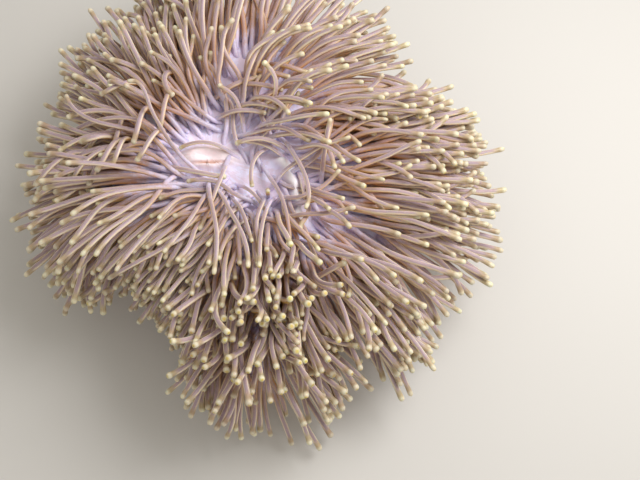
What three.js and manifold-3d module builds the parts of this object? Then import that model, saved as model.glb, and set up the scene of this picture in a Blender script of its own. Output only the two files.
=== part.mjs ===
// Magnificent sea anemone, life size, standing on its pedal disc with its crown spread.
// Millimetres, +Z up. The origin is the middle of the pedal disc's flat underside.
// The oral disc is a wide, wavy plate. Azimuth runs round it from +X, and span runs from its middle (0) to its
// margin (1). Thin radial cuts part the crown into lobes, each with its tentacles joined to it.
import * as THREE from "three";
import { mergeVertices } from "three/addons/utils/BufferGeometryUtils.js";
import Module from "manifold-3d";

const wasm = await Module();
wasm.setup();

// ---- driving dimensions ----
const MATING_GAP = 0.3; // between pieces that touch
const FINENESS = 0.15; // facets that change the shape by less are left out
const CUTTER_SIZE = 400; // more than any width or height of the crown

const FOOT = { radius: 74, height: 13, edge: 4, scallop: 2.5, scallops: 9, sides: 27 };
const COLUMN = { foot: 58, waist: 45, top: 47, waistHeight: 62, topHeight: 88, flutes: 12, fluteDepth: 1.8 };

const MOUTH_HEIGHT = 125; // top of the oral disc above the floor
const DISC_THICKNESS = 12;
const DISC_DISH = 7; // depth of the hollow round the mouth
const DISC_DISH_SPAN = 0.3;
const DISC_SPANS = [0, 0.3, 0.5, 0.75, 1]; // where the disc's facets meet
const RIM_BULGE = 0.025; // how far the rounded margin stands out, as a share of its radius
const MIDDLE_RADIUS = 39; // bare middle of the disc
const LIPS = { x: -25, y: 15, halfLength: 17, halfWidth: 9, height: 5, turn: 4 };

const LOBES = 12;
const LOBE_TURN = 4; // degrees from +X to the first cut
const LOBE_STEPS = 4; // facets across a lobe

const TENTACLE = { radius: 3.7, length: 58, extraLength: 16, sides: 5 }; // extraLength is added at the margin
const ROOT_FLARE = 1.25; // root and tip radii, in shaft radii
const TIP_SWELL = 1.12;
const ROOT_DEPTH = 3; // how far a root is sunk in the disc
const LAST_ROW = 0.96; // span of the row of roots at the margin
const ROW_SPACING = 23;
const ROOT_SPACING = { first: 23, last: 16 }; // along the innermost row and along the marginal one
const CUT_CLEARANCE = 2; // from a root to the cut beside it
const SIDE_CLEARANCE = 1.2; // between neighbouring tentacles
const DISC_CLEARANCE = 7; // from a tentacle's middle line down to the disc under it
const RIM_REACH = 1.06; // the span up to which they lie over the disc
const FLOOR_CLEARANCE = 16; // from a tentacle's middle line down to the floor
const PATH_STEPS = 16;
const SEPARATION_ROUNDS = 90;

// Swellings and folds round the crown, each [azimuth, half width, amount] in degrees and millimetres.
const MARGIN_RADIUS = {
  base: 128,
  folds: [[8, 30, 8], [48, 18, -14], [100, 30, 28], [155, 26, -8], [213, 9, -32],
    [238, 19, -60], [272, 13, 9], [300, 9, -34], [332, 14, -8]],
};
const MARGIN_HEIGHT = {
  base: 86,
  folds: [[95, 50, 14], [192, 30, -16], [243, 12, -4], [277, 18, -36], [308, 9, 8], [330, 20, -18]],
};
// How far, in degrees, the tentacles lean from upright where they leave the disc.
const LEAN = { base: 64, folds: [[15, 40, 10], [300, 34, -40]] };
const INNER_LEAN = -6; // added at the middle, fading to the margin
// How far, in degrees, they are swept round from straight outward.
const SWEEP = {
  base: 0,
  folds: [[15, 22, -8], [56, 24, -60], [200, 22, 34], [259, 8, 8], [297, 9, -20], [328, 12, -22]],
};
// How far, in degrees below level, the marginal ones hang.
const DROOP = { base: 4, folds: [[198, 18, 50], [224, 15, 74], [272, 18, 60], [330, 22, 36]] };
// How long they are, as a share of the length above.
const SHORTENING = {
  base: 1,
  folds: [[216, 20, -0.34], [250, 14, -0.2], [275, 16, -0.12], [301, 9, -0.2], [340, 24, 0.07]],
};
// How much further out the first row stands, beside the lips.
const LIP_ROOM = { base: 0, folds: [[158, 26, 8]] };
// The middle of the lobe that hangs in front, which its tentacles spread out from.
const FAN = { x: 11, y: -101, radius: 24, strength: 1.3 };
// How far, in degrees, one tentacle may stray from its neighbours' way.
const STRAY = 12;

// ---- the disc's surface ----
const { degToRad, lerp, clamp, euclideanModulo, seededRandom } = THREE.MathUtils;

function wavy({ base, folds }, azimuth) {
  return folds.reduce((sum, [centre, halfWidth, amount]) => {
    const apart = euclideanModulo(azimuth - degToRad(centre) + Math.PI, 2 * Math.PI) - Math.PI;
    return sum + amount * Math.exp(-((apart / degToRad(halfWidth)) ** 2));
  }, base);
}

// The margin turns down, so the plan radius grows a little slower than the span.
const rimTurn = (span) => 1 - 0.06 * span ** 6;
const planRadius = (azimuth, span) => wavy(MARGIN_RADIUS, azimuth) * span * rimTurn(span);

function discPoint(azimuth, span) {
  const fall = MOUTH_HEIGHT - wavy(MARGIN_HEIGHT, azimuth);
  const dish = DISC_DISH * Math.exp(-((span / DISC_DISH_SPAN) ** 2));
  const broadFolds = 5 * span ** 2 * (1 - span ** 4) * Math.sin(5 * azimuth + 0.6);
  const fineFolds = 3.5 * span ** 1.5 * Math.sin(9 * azimuth + 2 + 3 * span);
  const radius = planRadius(azimuth, span);
  const height = MOUTH_HEIGHT - dish - fall * span ** 3 + broadFolds + fineFolds;
  return new THREE.Vector3(radius * Math.cos(azimuth), radius * Math.sin(azimuth), height);
}

// The span at which the disc has this plan radius; it is over 1 outside the margin.
function spanAt(azimuth, radius) {
  const straight = radius / wavy(MARGIN_RADIUS, azimuth);
  let span = straight;
  for (let i = 0; i < 5; i += 1) span = straight / rimTurn(Math.min(span, 1));
  return span;
}

// The direction straight out of the disc.
function discNormal(azimuth, span) {
  const step = 1e-3;
  const round = discPoint(azimuth + step, span).sub(discPoint(azimuth - step, span));
  const outward = discPoint(azimuth, span + step).sub(discPoint(azimuth, span - step));
  return outward.cross(round).normalize();
}

// ---- solids ----
function solidOf(geometry) {
  const bare = geometry.clone();
  bare.deleteAttribute("normal");
  bare.deleteAttribute("uv");
  const merged = mergeVertices(bare, 1e-3);
  return new wasm.Manifold(new wasm.Mesh({
    numProp: 3,
    vertProperties: new Float32Array(merged.attributes.position.array),
    triVerts: new Uint32Array(merged.index.array),
  }));
}

function geometryOf(solid) {
  const { vertProperties, triVerts, numProp, numVert } = solid.getMesh();
  const points = new Float32Array(numVert * 3);
  for (let i = 0; i < numVert; i += 1) points.set(vertProperties.subarray(i * numProp, i * numProp + 3), i * 3);
  const geometry = new THREE.BufferGeometry();
  geometry.setAttribute("position", new THREE.BufferAttribute(points, 3));
  geometry.setIndex(new THREE.BufferAttribute(triVerts, 1));
  return geometry;
}

// Moves every vertex of a geometry to place(vertex).
function reshape(geometry, place) {
  const { position } = geometry.attributes;
  const vertex = new THREE.Vector3();
  for (let i = 0; i < position.count; i += 1) {
    vertex.fromBufferAttribute(position, i);
    position.setXYZ(i, ...place(vertex.clone()).toArray());
  }
  return geometry;
}

// A profile of [radius, height] pairs, turned about +Z.
function turned(profile, sides) {
  const points = profile.map(([radius, height]) => new THREE.Vector2(radius, height));
  return new THREE.LatheGeometry(points, sides).rotateX(Math.PI / 2);
}

// ---- body ----
// The foot: a low, scalloped pad with a flat underside.
function pedalDisc() {
  const { radius, height, edge, scallop, scallops, sides } = FOOT;
  const profile = [[0, 0], [radius - edge, 0], [radius, edge], [radius - edge, height - 3],
    [COLUMN.foot + 2, height], [0, height]];
  return solidOf(reshape(turned(profile, sides), (v) => {
    const reach = Math.hypot(v.x, v.y) / radius;
    const grown = 1 + (scallop / radius) * reach ** 4 * Math.sin(scallops * Math.atan2(v.y, v.x));
    return new THREE.Vector3(v.x * grown, v.y * grown, v.z);
  }));
}

// The fluted column, cut off by the underside of the disc.
function column(disc) {
  const { foot, waist, top, waistHeight, topHeight, flutes, fluteDepth } = COLUMN;
  const start = FOOT.height + MATING_GAP;
  const profile = [[0, start], [foot, start], [waist + 4, (start + waistHeight) / 2], [waist, waistHeight],
    [top - 1, topHeight], [top, MOUTH_HEIGHT], [top / 2, MOUTH_HEIGHT], [0, MOUTH_HEIGHT]];
  const shape = reshape(turned(profile, 2 * flutes), (v) => {
    const azimuth = Math.atan2(v.y, v.x);
    const radius = Math.hypot(v.x, v.y);
    if (v.z === MOUTH_HEIGHT) {
      v.z = discPoint(azimuth, spanAt(azimuth, radius)).z - DISC_THICKNESS / 2;
      return v;
    }
    const flute = v.z > start && radius > 1 ? 1 + (fluteDepth / radius) * Math.cos(flutes * azimuth) : 1;
    return new THREE.Vector3(v.x * flute, v.y * flute, v.z);
  });
  return solidOf(shape).subtract(disc.translate([0, 0, -MATING_GAP]));
}

// The whole oral disc, before it is parted.
function wholeDisc() {
  const underside = DISC_SPANS.map((span) => [span, -1]);
  const top = DISC_SPANS.toReversed().map((span) => [span, 0]);
  return solidOf(reshape(turned([...underside, [1 + RIM_BULGE, -0.5], ...top], LOBES * LOBE_STEPS), (v) => {
    const span = Math.hypot(v.x, v.y);
    const place = discPoint(Math.atan2(v.y, v.x), Math.min(span, 1));
    const bulge = Math.max(span, 1);
    return new THREE.Vector3(place.x * bulge, place.y * bulge, place.z + v.z * DISC_THICKNESS);
  }));
}

// Upright cutters: a round one for the bare middle, and a wedge that keeps clear of the cuts at its two sides.
function middleCutter(radius) {
  const cylinder = new THREE.CylinderGeometry(radius, radius, CUTTER_SIZE, LOBES * LOBE_STEPS);
  return solidOf(cylinder.rotateX(Math.PI / 2));
}

function wedgeCutter(from, to, gap = MATING_GAP) {
  const half = (to - from) / 2;
  const side = CUTTER_SIZE * Math.tan(half);
  const corners = [[0, 0], [CUTTER_SIZE, -side], [CUTTER_SIZE, side]].map(([x, y]) => new THREE.Vector2(x, y));
  const outline = new THREE.Shape(corners);
  const wedge = new THREE.ExtrudeGeometry(outline, { depth: CUTTER_SIZE, bevelEnabled: false });
  return solidOf(wedge.translate(gap / 2 / Math.sin(half), 0, 0).rotateZ(from + half));
}

// The lips: a low oval ring, seated on the disc.
function mouth(disc) {
  const { x, y, halfLength, halfWidth, height, turn } = LIPS;
  const tube = 0.42;
  const ring = reshape(new THREE.TorusGeometry(1, tube, 6, 12), (v) => {
    const round = Math.atan2(v.y, v.x);
    const across = (Math.hypot(v.x, v.y) - 1) / tube - 1;
    return new THREE.Vector3(
      (halfLength + across * height) * Math.cos(round),
      (halfWidth + across * height * 0.8) * Math.sin(round),
      (v.z / tube) * height,
    );
  });
  const azimuth = Math.atan2(y, x);
  const seat = discPoint(azimuth, spanAt(azimuth, Math.hypot(x, y))).z;
  ring.rotateZ(degToRad(turn)).translate(x, y, seat + height / 3);
  return solidOf(ring).subtract(disc.translate([0, 0, MATING_GAP]));
}

// ---- tentacles ----
// A number from -1 to 1, always the same for the same tentacle and purpose.
const chance = (index, purpose) => 2 * seededRandom(index * 8 + purpose) - 1;

// Where a lobe's tentacles stand, in rows from the bare middle to the margin and clear of the cuts.
function roots(from, to) {
  const flare = TENTACLE.radius * ROOT_FLARE;
  const inner = MIDDLE_RADIUS + flare + 1 + wavy(LIP_ROOM, (from + to) / 2);
  const outer = (azimuth) => LAST_ROW * wavy(MARGIN_RADIUS, azimuth);
  const lobeOuter = outer((from + to) / 2);
  const narrowest = Math.min(outer(from), outer(to), lobeOuter);
  const rows = Math.max(1, Math.round((lobeOuter - inner) / ROW_SPACING));
  return Array.from({ length: rows + 1 }, (_, row) => {
    const share = row / rows;
    const arc = (to - from) * lerp(inner, lobeOuter, share);
    const clear = (flare + CUT_CLEARANCE) / ((to - from) * lerp(inner, narrowest, share));
    const spacing = lerp(ROOT_SPACING.first, ROOT_SPACING.last, share);
    const count = Math.max(1, Math.round((arc * (1 - 2 * clear)) / spacing));
    return Array.from({ length: count }, (__, i) => {
      const offset = row % 2 ? 0.7 : 0.3; // neighbouring rows stand in each other's gaps
      const azimuth = lerp(from, to, clamp((i + offset) / count, clear, 1 - clear));
      return [azimuth, spanAt(azimuth, Math.max(inner, lerp(inner, outer(azimuth), share)))];
    });
  }).flat();
}

// Turns a level way outward from the middle of the hanging lobe, for a root near it.
function fanned(root, way) {
  const off = root.clone().sub(new THREE.Vector3(FAN.x, FAN.y, root.z));
  const share = FAN.strength * Math.exp(-((off.length() / FAN.radius) ** 2));
  return way.addScaledVector(off.normalize(), share).normalize();
}

// A tentacle's middle line: it leaves the disc leaning, and bends towards the way that the crown hangs there.
function path(azimuth, span, index) {
  const normal = discNormal(azimuth, span);
  const lean = degToRad(wavy(LEAN, azimuth) + INNER_LEAN * (1 - span) + STRAY * chance(index, 1));
  const swirl = 7 * Math.sin(3 * azimuth + 6 * span) + STRAY * chance(index, 2);
  const swept = azimuth + degToRad(wavy(SWEEP, azimuth) * (0.35 + 0.65 * span) + swirl);
  const droop = degToRad(wavy(DROOP, azimuth) * span ** 2.5 + STRAY * chance(index, 3));
  const root = discPoint(azimuth, span);
  const level = fanned(root, new THREE.Vector3(Math.cos(swept), Math.sin(swept), 0));
  const along = level.clone().projectOnPlane(normal).normalize();
  const first = normal.clone().multiplyScalar(Math.cos(lean)).addScaledVector(along, Math.sin(lean));
  const last = level.multiplyScalar(Math.cos(droop)).setZ(-Math.sin(droop));
  const grown = wavy(SHORTENING, azimuth) * (1 + 0.06 * chance(index, 4));
  const length = (TENTACLE.length + TENTACLE.extraLength * span) * grown;
  const step = length / PATH_STEPS;
  const points = [root];
  for (let i = 0; i < PATH_STEPS; i += 1) {
    const bend = 0.85 * ((i + 0.5) / PATH_STEPS) ** 1.2;
    points.push(points[i].clone().add(first.clone().lerp(last, bend).setLength(step)));
  }
  return { points, step, first, root: points[0].clone().addScaledVector(normal, -ROOT_DEPTH) };
}

// Pushes two middle lines apart where they lie in each other.
function pushApart(a, b, apart) {
  const half = PATH_STEPS / 2;
  if (a.points[half].distanceTo(b.points[half]) > a.step * PATH_STEPS + apart) return;
  for (let m = 2; m <= PATH_STEPS; m += 1) {
    for (let n = 2; n <= PATH_STEPS; n += 1) {
      const between = a.points[m].clone().sub(b.points[n]);
      const lack = apart - between.length();
      if (lack > 0) {
        between.setLength(lack / 2);
        a.points[m].add(between);
        b.points[n].sub(between);
      }
    }
  }
}

// Smooths a middle line, keeps its length, and lifts it off the disc and the floor.
function settle({ points, step, first }) {
  points[1].copy(points[0]).addScaledVector(first, step);
  for (let m = 2; m <= PATH_STEPS; m += 1) {
    const point = points[m];
    if (m < PATH_STEPS) point.lerp(points[m - 1].clone().lerp(points[m + 1], 0.5), 0.3);
    const azimuth = Math.atan2(point.y, point.x);
    const span = spanAt(azimuth, Math.hypot(point.x, point.y));
    if (span < RIM_REACH) point.z = Math.max(point.z, discPoint(azimuth, Math.min(span, 1)).z + DISC_CLEARANCE);
    point.sub(points[m - 1]).setLength(step).add(points[m - 1]);
    point.z = Math.max(point.z, FLOOR_CLEARANCE);
  }
}

function separate(paths) {
  const apart = 2 * TENTACLE.radius * TIP_SWELL + SIDE_CLEARANCE;
  for (let round = 0; round < SEPARATION_ROUNDS; round += 1) {
    paths.forEach((a, i) => paths.slice(i + 1).forEach((b) => pushApart(a, b, apart)));
    paths.forEach(settle);
  }
}

// A round finger along a path, flared at its root and a little swollen at its tip.
function finger({ points, root }) {
  const curve = new THREE.CatmullRomCurve3([root, ...points.slice(1)]);
  const steps = 4 * PATH_STEPS;
  const frames = curve.computeFrenetFrames(steps);
  const profile = [[0, 0], [ROOT_FLARE, 0], [1, 0.34], [0.95, 0.65], [TIP_SWELL, 0.95], [0, 1]];
  const outline = profile.map(([wide, along]) => new THREE.Vector2(wide * TENTACLE.radius, along));
  return solidOf(reshape(new THREE.LatheGeometry(outline, TENTACLE.sides), (v) => {
    const nearest = Math.round(v.y * steps);
    const centre = curve.getPointAt(v.y);
    return centre.addScaledVector(frames.binormals[nearest], v.x).addScaledVector(frames.normals[nearest], v.z);
  }));
}

// ---- assembly ----
const flesh = (color, roughness) => new THREE.MeshStandardMaterial({ color, roughness, metalness: 0 });
const materials = {
  column: flesh(0x8a5f77, 0.6),
  disc: flesh(0xcdbfdd, 0.5),
  lips: flesh(0xe6cfd6, 0.45),
  tentacles: flesh(0xa98a7e, 0.45),
};

const anemone = new THREE.Group();

function add(name, solid, material) {
  const mesh = new THREE.Mesh(geometryOf(solid.simplify(FINENESS)), material);
  mesh.name = name;
  anemone.add(mesh);
}

const disc = wholeDisc();
add("pedal_disc", pedalDisc(), materials.column);
add("column", column(disc), materials.column);
add("oral_disc", disc.intersect(middleCutter(MIDDLE_RADIUS)), materials.disc);
add("mouth", mouth(disc), materials.lips);

const crown = disc.subtract(middleCutter(MIDDLE_RADIUS + MATING_GAP));
const cuts = Array.from({ length: LOBES + 1 }, (_, i) => degToRad(LOBE_TURN + (i * 360) / LOBES));
const lobes = cuts.slice(1).map((to, i) => ({
  plate: crown.intersect(wedgeCutter(cuts[i], to)),
  others: crown.subtract(wedgeCutter(cuts[i], to, 0)),
  paths: roots(cuts[i], to).map(([azimuth, span], n) => path(azimuth, span, i * 50 + n)),
}));
separate(lobes.flatMap(({ paths }) => paths));
lobes.forEach(({ plate, others, paths }, i) => {
  const lobe = paths.reduce((solid, line) => solid.add(finger(line)), plate).subtract(others);
  add("tentacle_lobe_" + String(i + 1).padStart(2, "0"), lobe, materials.tentacles);
});

export default anemone;
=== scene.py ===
"""Magnificent sea anemone, life size: its skin, column warts and tentacles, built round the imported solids.

Metres, +Z up, with the origin in the middle of the pedal disc's flat underside. Azimuth runs round the
crown from +X, and span runs over the oral disc from its middle (0) to its margin (1).
"""

import logging
import math
from dataclasses import dataclass, field
from enum import Enum

import bmesh
import bpy
import numpy as np
from mathutils.kdtree import KDTree
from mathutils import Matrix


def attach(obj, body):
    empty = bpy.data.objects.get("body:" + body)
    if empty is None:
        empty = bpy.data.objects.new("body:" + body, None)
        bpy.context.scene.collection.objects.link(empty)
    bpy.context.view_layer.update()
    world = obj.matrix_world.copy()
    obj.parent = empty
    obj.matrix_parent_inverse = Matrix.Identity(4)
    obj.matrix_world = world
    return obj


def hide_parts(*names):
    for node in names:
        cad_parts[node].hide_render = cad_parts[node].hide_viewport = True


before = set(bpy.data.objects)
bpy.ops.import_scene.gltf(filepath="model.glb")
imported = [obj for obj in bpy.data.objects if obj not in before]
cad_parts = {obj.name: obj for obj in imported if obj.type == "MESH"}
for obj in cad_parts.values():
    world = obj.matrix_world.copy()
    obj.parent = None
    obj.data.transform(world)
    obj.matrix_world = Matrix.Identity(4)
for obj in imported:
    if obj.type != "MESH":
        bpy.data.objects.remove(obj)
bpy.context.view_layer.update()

SEED = 11
BAKE_MAP = "OFBake"
LOBES = 12
LOBE_TURN = 4.0  # degrees from +X to the first lobe's side
TINY = 1e-6

Colour = tuple[float, float, float, float]
Point = tuple[float, float, float]
Outline = tuple[tuple[float, float], ...]

log = logging.getLogger("anemone")


def srgb(red: int, green: int, blue: int) -> Colour:
    """A colour given as eight-bit sRGB, in the linear values that shaders take.

    Args:
        red: Red, 0 to 255.
        green: Green, 0 to 255.
        blue: Blue, 0 to 255.

    Returns:
        Linear red, green, blue and an alpha of 1.
    """
    shares = (channel / 255 for channel in (red, green, blue))
    linear = (s / 12.92 if s <= 0.04045 else ((s + 0.055) / 1.055) ** 2.4 for s in shares)
    return (*linear, 1.0)


def unit(vectors: np.ndarray) -> np.ndarray:
    """The same directions at length 1."""
    return vectors / np.maximum(np.linalg.norm(vectors, axis=-1, keepdims=True), 1e-12)


def level(azimuth: np.ndarray) -> np.ndarray:
    """Level directions at these azimuths, in radians."""
    return np.stack([np.cos(azimuth), np.sin(azimuth), np.zeros_like(azimuth)], -1)


def ease(values: np.ndarray, start: float, end: float) -> np.ndarray:
    """A smooth step from 0 at start to 1 at end."""
    share = np.clip((values - start) / (end - start), 0, 1)
    return share * share * (3 - 2 * share)


# ---- the crown's form ----
@dataclass(frozen=True)
class Wave:
    """A value that changes round the crown: a base with smooth swellings and folds.

    Attributes:
        base: The value away from every fold.
        folds: Each (azimuth, half width, amount), in degrees, degrees and the value's own unit.
    """

    base: float
    folds: tuple[tuple[float, float, float], ...] = ()

    def at(self, azimuth: np.ndarray) -> np.ndarray:
        """The value at these azimuths.

        Args:
            azimuth: Azimuths in radians.

        Returns:
            One value for each azimuth.
        """
        total = np.full_like(azimuth, self.base, dtype=float)
        for centre, half_width, amount in self.folds:
            apart = (azimuth - math.radians(centre) + math.pi) % (2 * math.pi) - math.pi
            total += amount * np.exp(-((apart / math.radians(half_width)) ** 2))
        return total


@dataclass(frozen=True)
class OralDisc:
    """The upper surface of the oral disc: a wide, wavy plate that turns down at its margin.

    Attributes:
        mouth_height: The height of its middle, without the dish.
        dish: How far the middle is sunk.
        dish_span: How far out the dish reaches.
        margin_radius: The radius of its margin.
        margin_height: The height of its margin.
        fall_power: How late it falls away to the margin.
        rim_shrink: How much the margin's turning down takes off its radius.
        rim_power: How late that starts.
        broad_folds: How many broad folds it has.
        broad_fold: Their height.
        broad_phase: How far round they are turned.
        fine_folds: How many fine folds it has.
        fine_fold: Their height.
        fine_phase: How far round they are turned.
        fine_slant: How much further round they are at the margin.
    """

    mouth_height: float = 0.125
    dish: float = 0.007
    dish_span: float = 0.3
    margin_radius: Wave = Wave(0.128, (
        (8, 30, 0.008), (48, 18, -0.014), (100, 30, 0.028), (155, 26, -0.008), (213, 9, -0.032),
        (238, 19, -0.060), (272, 13, 0.009), (300, 9, -0.034), (332, 14, -0.008)))
    margin_height: Wave = Wave(0.086, (
        (95, 50, 0.014), (192, 30, -0.016), (243, 12, -0.004), (277, 18, -0.036), (308, 9, 0.008),
        (330, 20, -0.018)))
    fall_power: int = 3
    rim_shrink: float = 0.06
    rim_power: int = 6
    broad_folds: int = 5
    broad_fold: float = 0.005
    broad_phase: float = 0.6
    fine_folds: int = 9
    fine_fold: float = 0.0035
    fine_phase: float = 2.0
    fine_slant: float = 3.0

    def rim_turn(self, span: np.ndarray) -> np.ndarray:
        """How much slower than the span the plan radius grows, as the margin turns down."""
        return 1 - self.rim_shrink * span**self.rim_power

    def plan_radius(self, azimuth: np.ndarray, span: np.ndarray) -> np.ndarray:
        """Distance from the axis, seen from above."""
        return self.margin_radius.at(azimuth) * span * self.rim_turn(span)

    def height(self, azimuth: np.ndarray, span: np.ndarray) -> np.ndarray:
        """Height of the surface above the floor.

        Args:
            azimuth: Azimuths in radians.
            span: Shares of the way from the middle to the margin.

        Returns:
            Heights in metres.
        """
        fall = self.mouth_height - self.margin_height.at(azimuth)
        dish = self.dish * np.exp(-((span / self.dish_span) ** 2))
        broad = np.sin(self.broad_folds * azimuth + self.broad_phase)
        fine = np.sin(self.fine_folds * azimuth + self.fine_phase + self.fine_slant * span)
        broad = self.broad_fold * span**2 * (1 - span**4) * broad
        fine = self.fine_fold * span**1.5 * fine
        return self.mouth_height - dish - fall * span**self.fall_power + broad + fine

    def points(self, azimuth: np.ndarray, span: np.ndarray) -> np.ndarray:
        """Points of the surface.

        Args:
            azimuth: Azimuths in radians.
            span: Shares of the way from the middle to the margin.

        Returns:
            The points, in metres.
        """
        place = level(azimuth) * self.plan_radius(azimuth, span)[..., None]
        place[..., 2] = self.height(azimuth, span)
        return place

    def normals(self, azimuth: np.ndarray, span: np.ndarray) -> np.ndarray:
        """Directions straight out of the surface.

        Args:
            azimuth: Azimuths in radians.
            span: Shares of the way from the middle to the margin.

        Returns:
            Directions of length 1.
        """
        step = 1e-3
        around = self.points(azimuth + step, span) - self.points(azimuth - step, span)
        outward = self.points(azimuth, span + step) - self.points(azimuth, span - step)
        return unit(np.cross(outward, around))

    def span_at(self, azimuth: np.ndarray, radius: np.ndarray) -> np.ndarray:
        """The span at which the plan radius is this.

        Args:
            azimuth: Azimuths in radians.
            radius: Distances from the axis, seen from above.

        Returns:
            The spans, which are over 1 outside the margin.
        """
        straight = radius / self.margin_radius.at(azimuth)
        span = straight
        for _ in range(5):
            span = straight / self.rim_turn(np.minimum(span, 1))
        return span

    def height_under(self, x: np.ndarray, y: np.ndarray) -> tuple[np.ndarray, np.ndarray]:
        """The surface under points seen from above.

        Args:
            x: Their x.
            y: Their y.

        Returns:
            The surface's heights, and the spans, there.
        """
        azimuth = np.arctan2(y, x)
        span = self.span_at(azimuth, np.hypot(x, y))
        return self.height(azimuth, np.minimum(span, 1)), span


@dataclass(frozen=True)
class Lips:
    """The mouth: a long oval pad round a closed slit, out of the crown's middle.

    Its oval outline is ring 1, and a ring of 2 is twice as large.

    Attributes:
        x: Its middle's x.
        y: Its middle's y.
        half_length: Half its length.
        half_width: Half its width.
        turn: How far its length is turned, in degrees from +X.
        height: How high its crest stands.
        crest_ring: The ring of its crest.
        crest_spread: How wide the crest is, in rings.
        slit_depth: How deep the slit is.
        slit_shift: How far the slit is off its middle towards -Y, in rings, so that its brownish colour,
            partly painted shadow, lies near the south edge.
        slit_squeeze: How much longer than wide the slit is.
        slit_core: The share of the slit that has its full depth.
        pleats: How many pleats run over its edge.
        pleat_depth: Half their height.
        pleat_ring: The ring that they run over.
        pleat_spread: How wide they are, in rings.
        edge_ring: The ring up to which it has the lips' colour.
        foot_ring: The ring at which that colour has faded.
    """

    x: float = -0.027
    y: float = 0.016
    half_length: float = 0.0172
    half_width: float = 0.0072
    turn: float = 4.0
    height: float = 0.0055
    crest_ring: float = 0.75
    crest_spread: float = 0.55
    slit_depth: float = 0.0030
    slit_shift: float = 0.66
    slit_squeeze: float = 4.2
    slit_core: float = 0.2
    pleats: int = 16
    pleat_depth: float = 0.00018
    pleat_ring: float = 1.1
    pleat_spread: float = 0.3
    edge_ring: float = 0.95
    foot_ring: float = 1.6

    def rings(self, x: np.ndarray, y: np.ndarray) -> tuple[np.ndarray, np.ndarray]:
        """Where points are on the pad.

        Args:
            x: Their x.
            y: Their y.

        Returns:
            The ring that each is on, and its turn round the pad in radians.
        """
        turn = math.radians(self.turn)
        along = ((x - self.x) * math.cos(turn) + (y - self.y) * math.sin(turn)) / self.half_length
        across = ((y - self.y) * math.cos(turn) - (x - self.x) * math.sin(turn)) / self.half_width
        return np.hypot(along, across), np.arctan2(across, along)

    def relief(self, x: np.ndarray, y: np.ndarray) -> np.ndarray:
        """The height that the lips add to the disc.

        Args:
            x: The points' x.
            y: The points' y.

        Returns:
            Heights in metres.
        """
        ring, turn = self.rings(x, y)
        crest = self.height * np.exp(-((ring - self.crest_ring) / self.crest_spread) ** 2)
        slit = self.slit_depth * self.slit(x, y)
        pleated = np.exp(-((ring - self.pleat_ring) / self.pleat_spread) ** 2)
        return crest - slit + self.pleat_depth * np.sin(self.pleats * turn) * pleated

    def slit(self, x: np.ndarray, y: np.ndarray) -> np.ndarray:
        """Where the closed slit is.

        Args:
            x: The points' x.
            y: The points' y.

        Returns:
            1 in the slit, 0 off it.
        """
        ring, turn = self.rings(x, y)
        along, across = ring * np.cos(turn), ring * np.sin(turn) + self.slit_shift
        return 1 - ease(np.hypot(along, self.slit_squeeze * across), self.slit_core, 1.0)

    def mask(self, x: np.ndarray, y: np.ndarray) -> np.ndarray:
        """1 on the lips, 0 off them."""
        return 1 - ease(self.rings(x, y)[0], self.edge_ring, self.foot_ring)


@dataclass(frozen=True)
class Ridge:
    """A pale, rippled fold that stands up from the oral disc beside the mouth, along a line.

    Attributes:
        line: The corners of the line, each (x, y).
        height: How high it stands.
        half_width: How wide it is to each side.
        ripple: How far its sides wander.
        ripples: How closely the ripples follow each other along y, in radians for a metre.
        ripple_slant: The same along x.
    """

    line: tuple[tuple[float, float], ...] = (
        (0.026, 0.013), (0.032, 0.001), (0.036, -0.011), (0.038, -0.022), (0.039, -0.037))
    height: float = 0.0070
    half_width: float = 0.0042
    ripple: float = 0.0011
    ripples: float = 520.0
    ripple_slant: float = 200.0

    def mask(self, x: np.ndarray, y: np.ndarray) -> np.ndarray:
        """How much of the fold's height each point has.

        Args:
            x: The points' x.
            y: The points' y.

        Returns:
            1 on its crest, fading to 0 at its foot.
        """
        nearest = np.full_like(x, np.inf)
        for (x0, y0), (x1, y1) in zip(self.line, self.line[1:]):
            length = (x1 - x0) ** 2 + (y1 - y0) ** 2
            share = np.clip(((x - x0) * (x1 - x0) + (y - y0) * (y1 - y0)) / length, 0, 1)
            nearest = np.minimum(nearest, np.hypot(x - x0 - share * (x1 - x0), y - y0 - share * (y1 - y0)))
        nearest += self.ripple * np.sin(self.ripples * y + self.ripple_slant * x) * (nearest > 0)
        return np.exp(-((nearest / self.half_width) ** 2))


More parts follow.
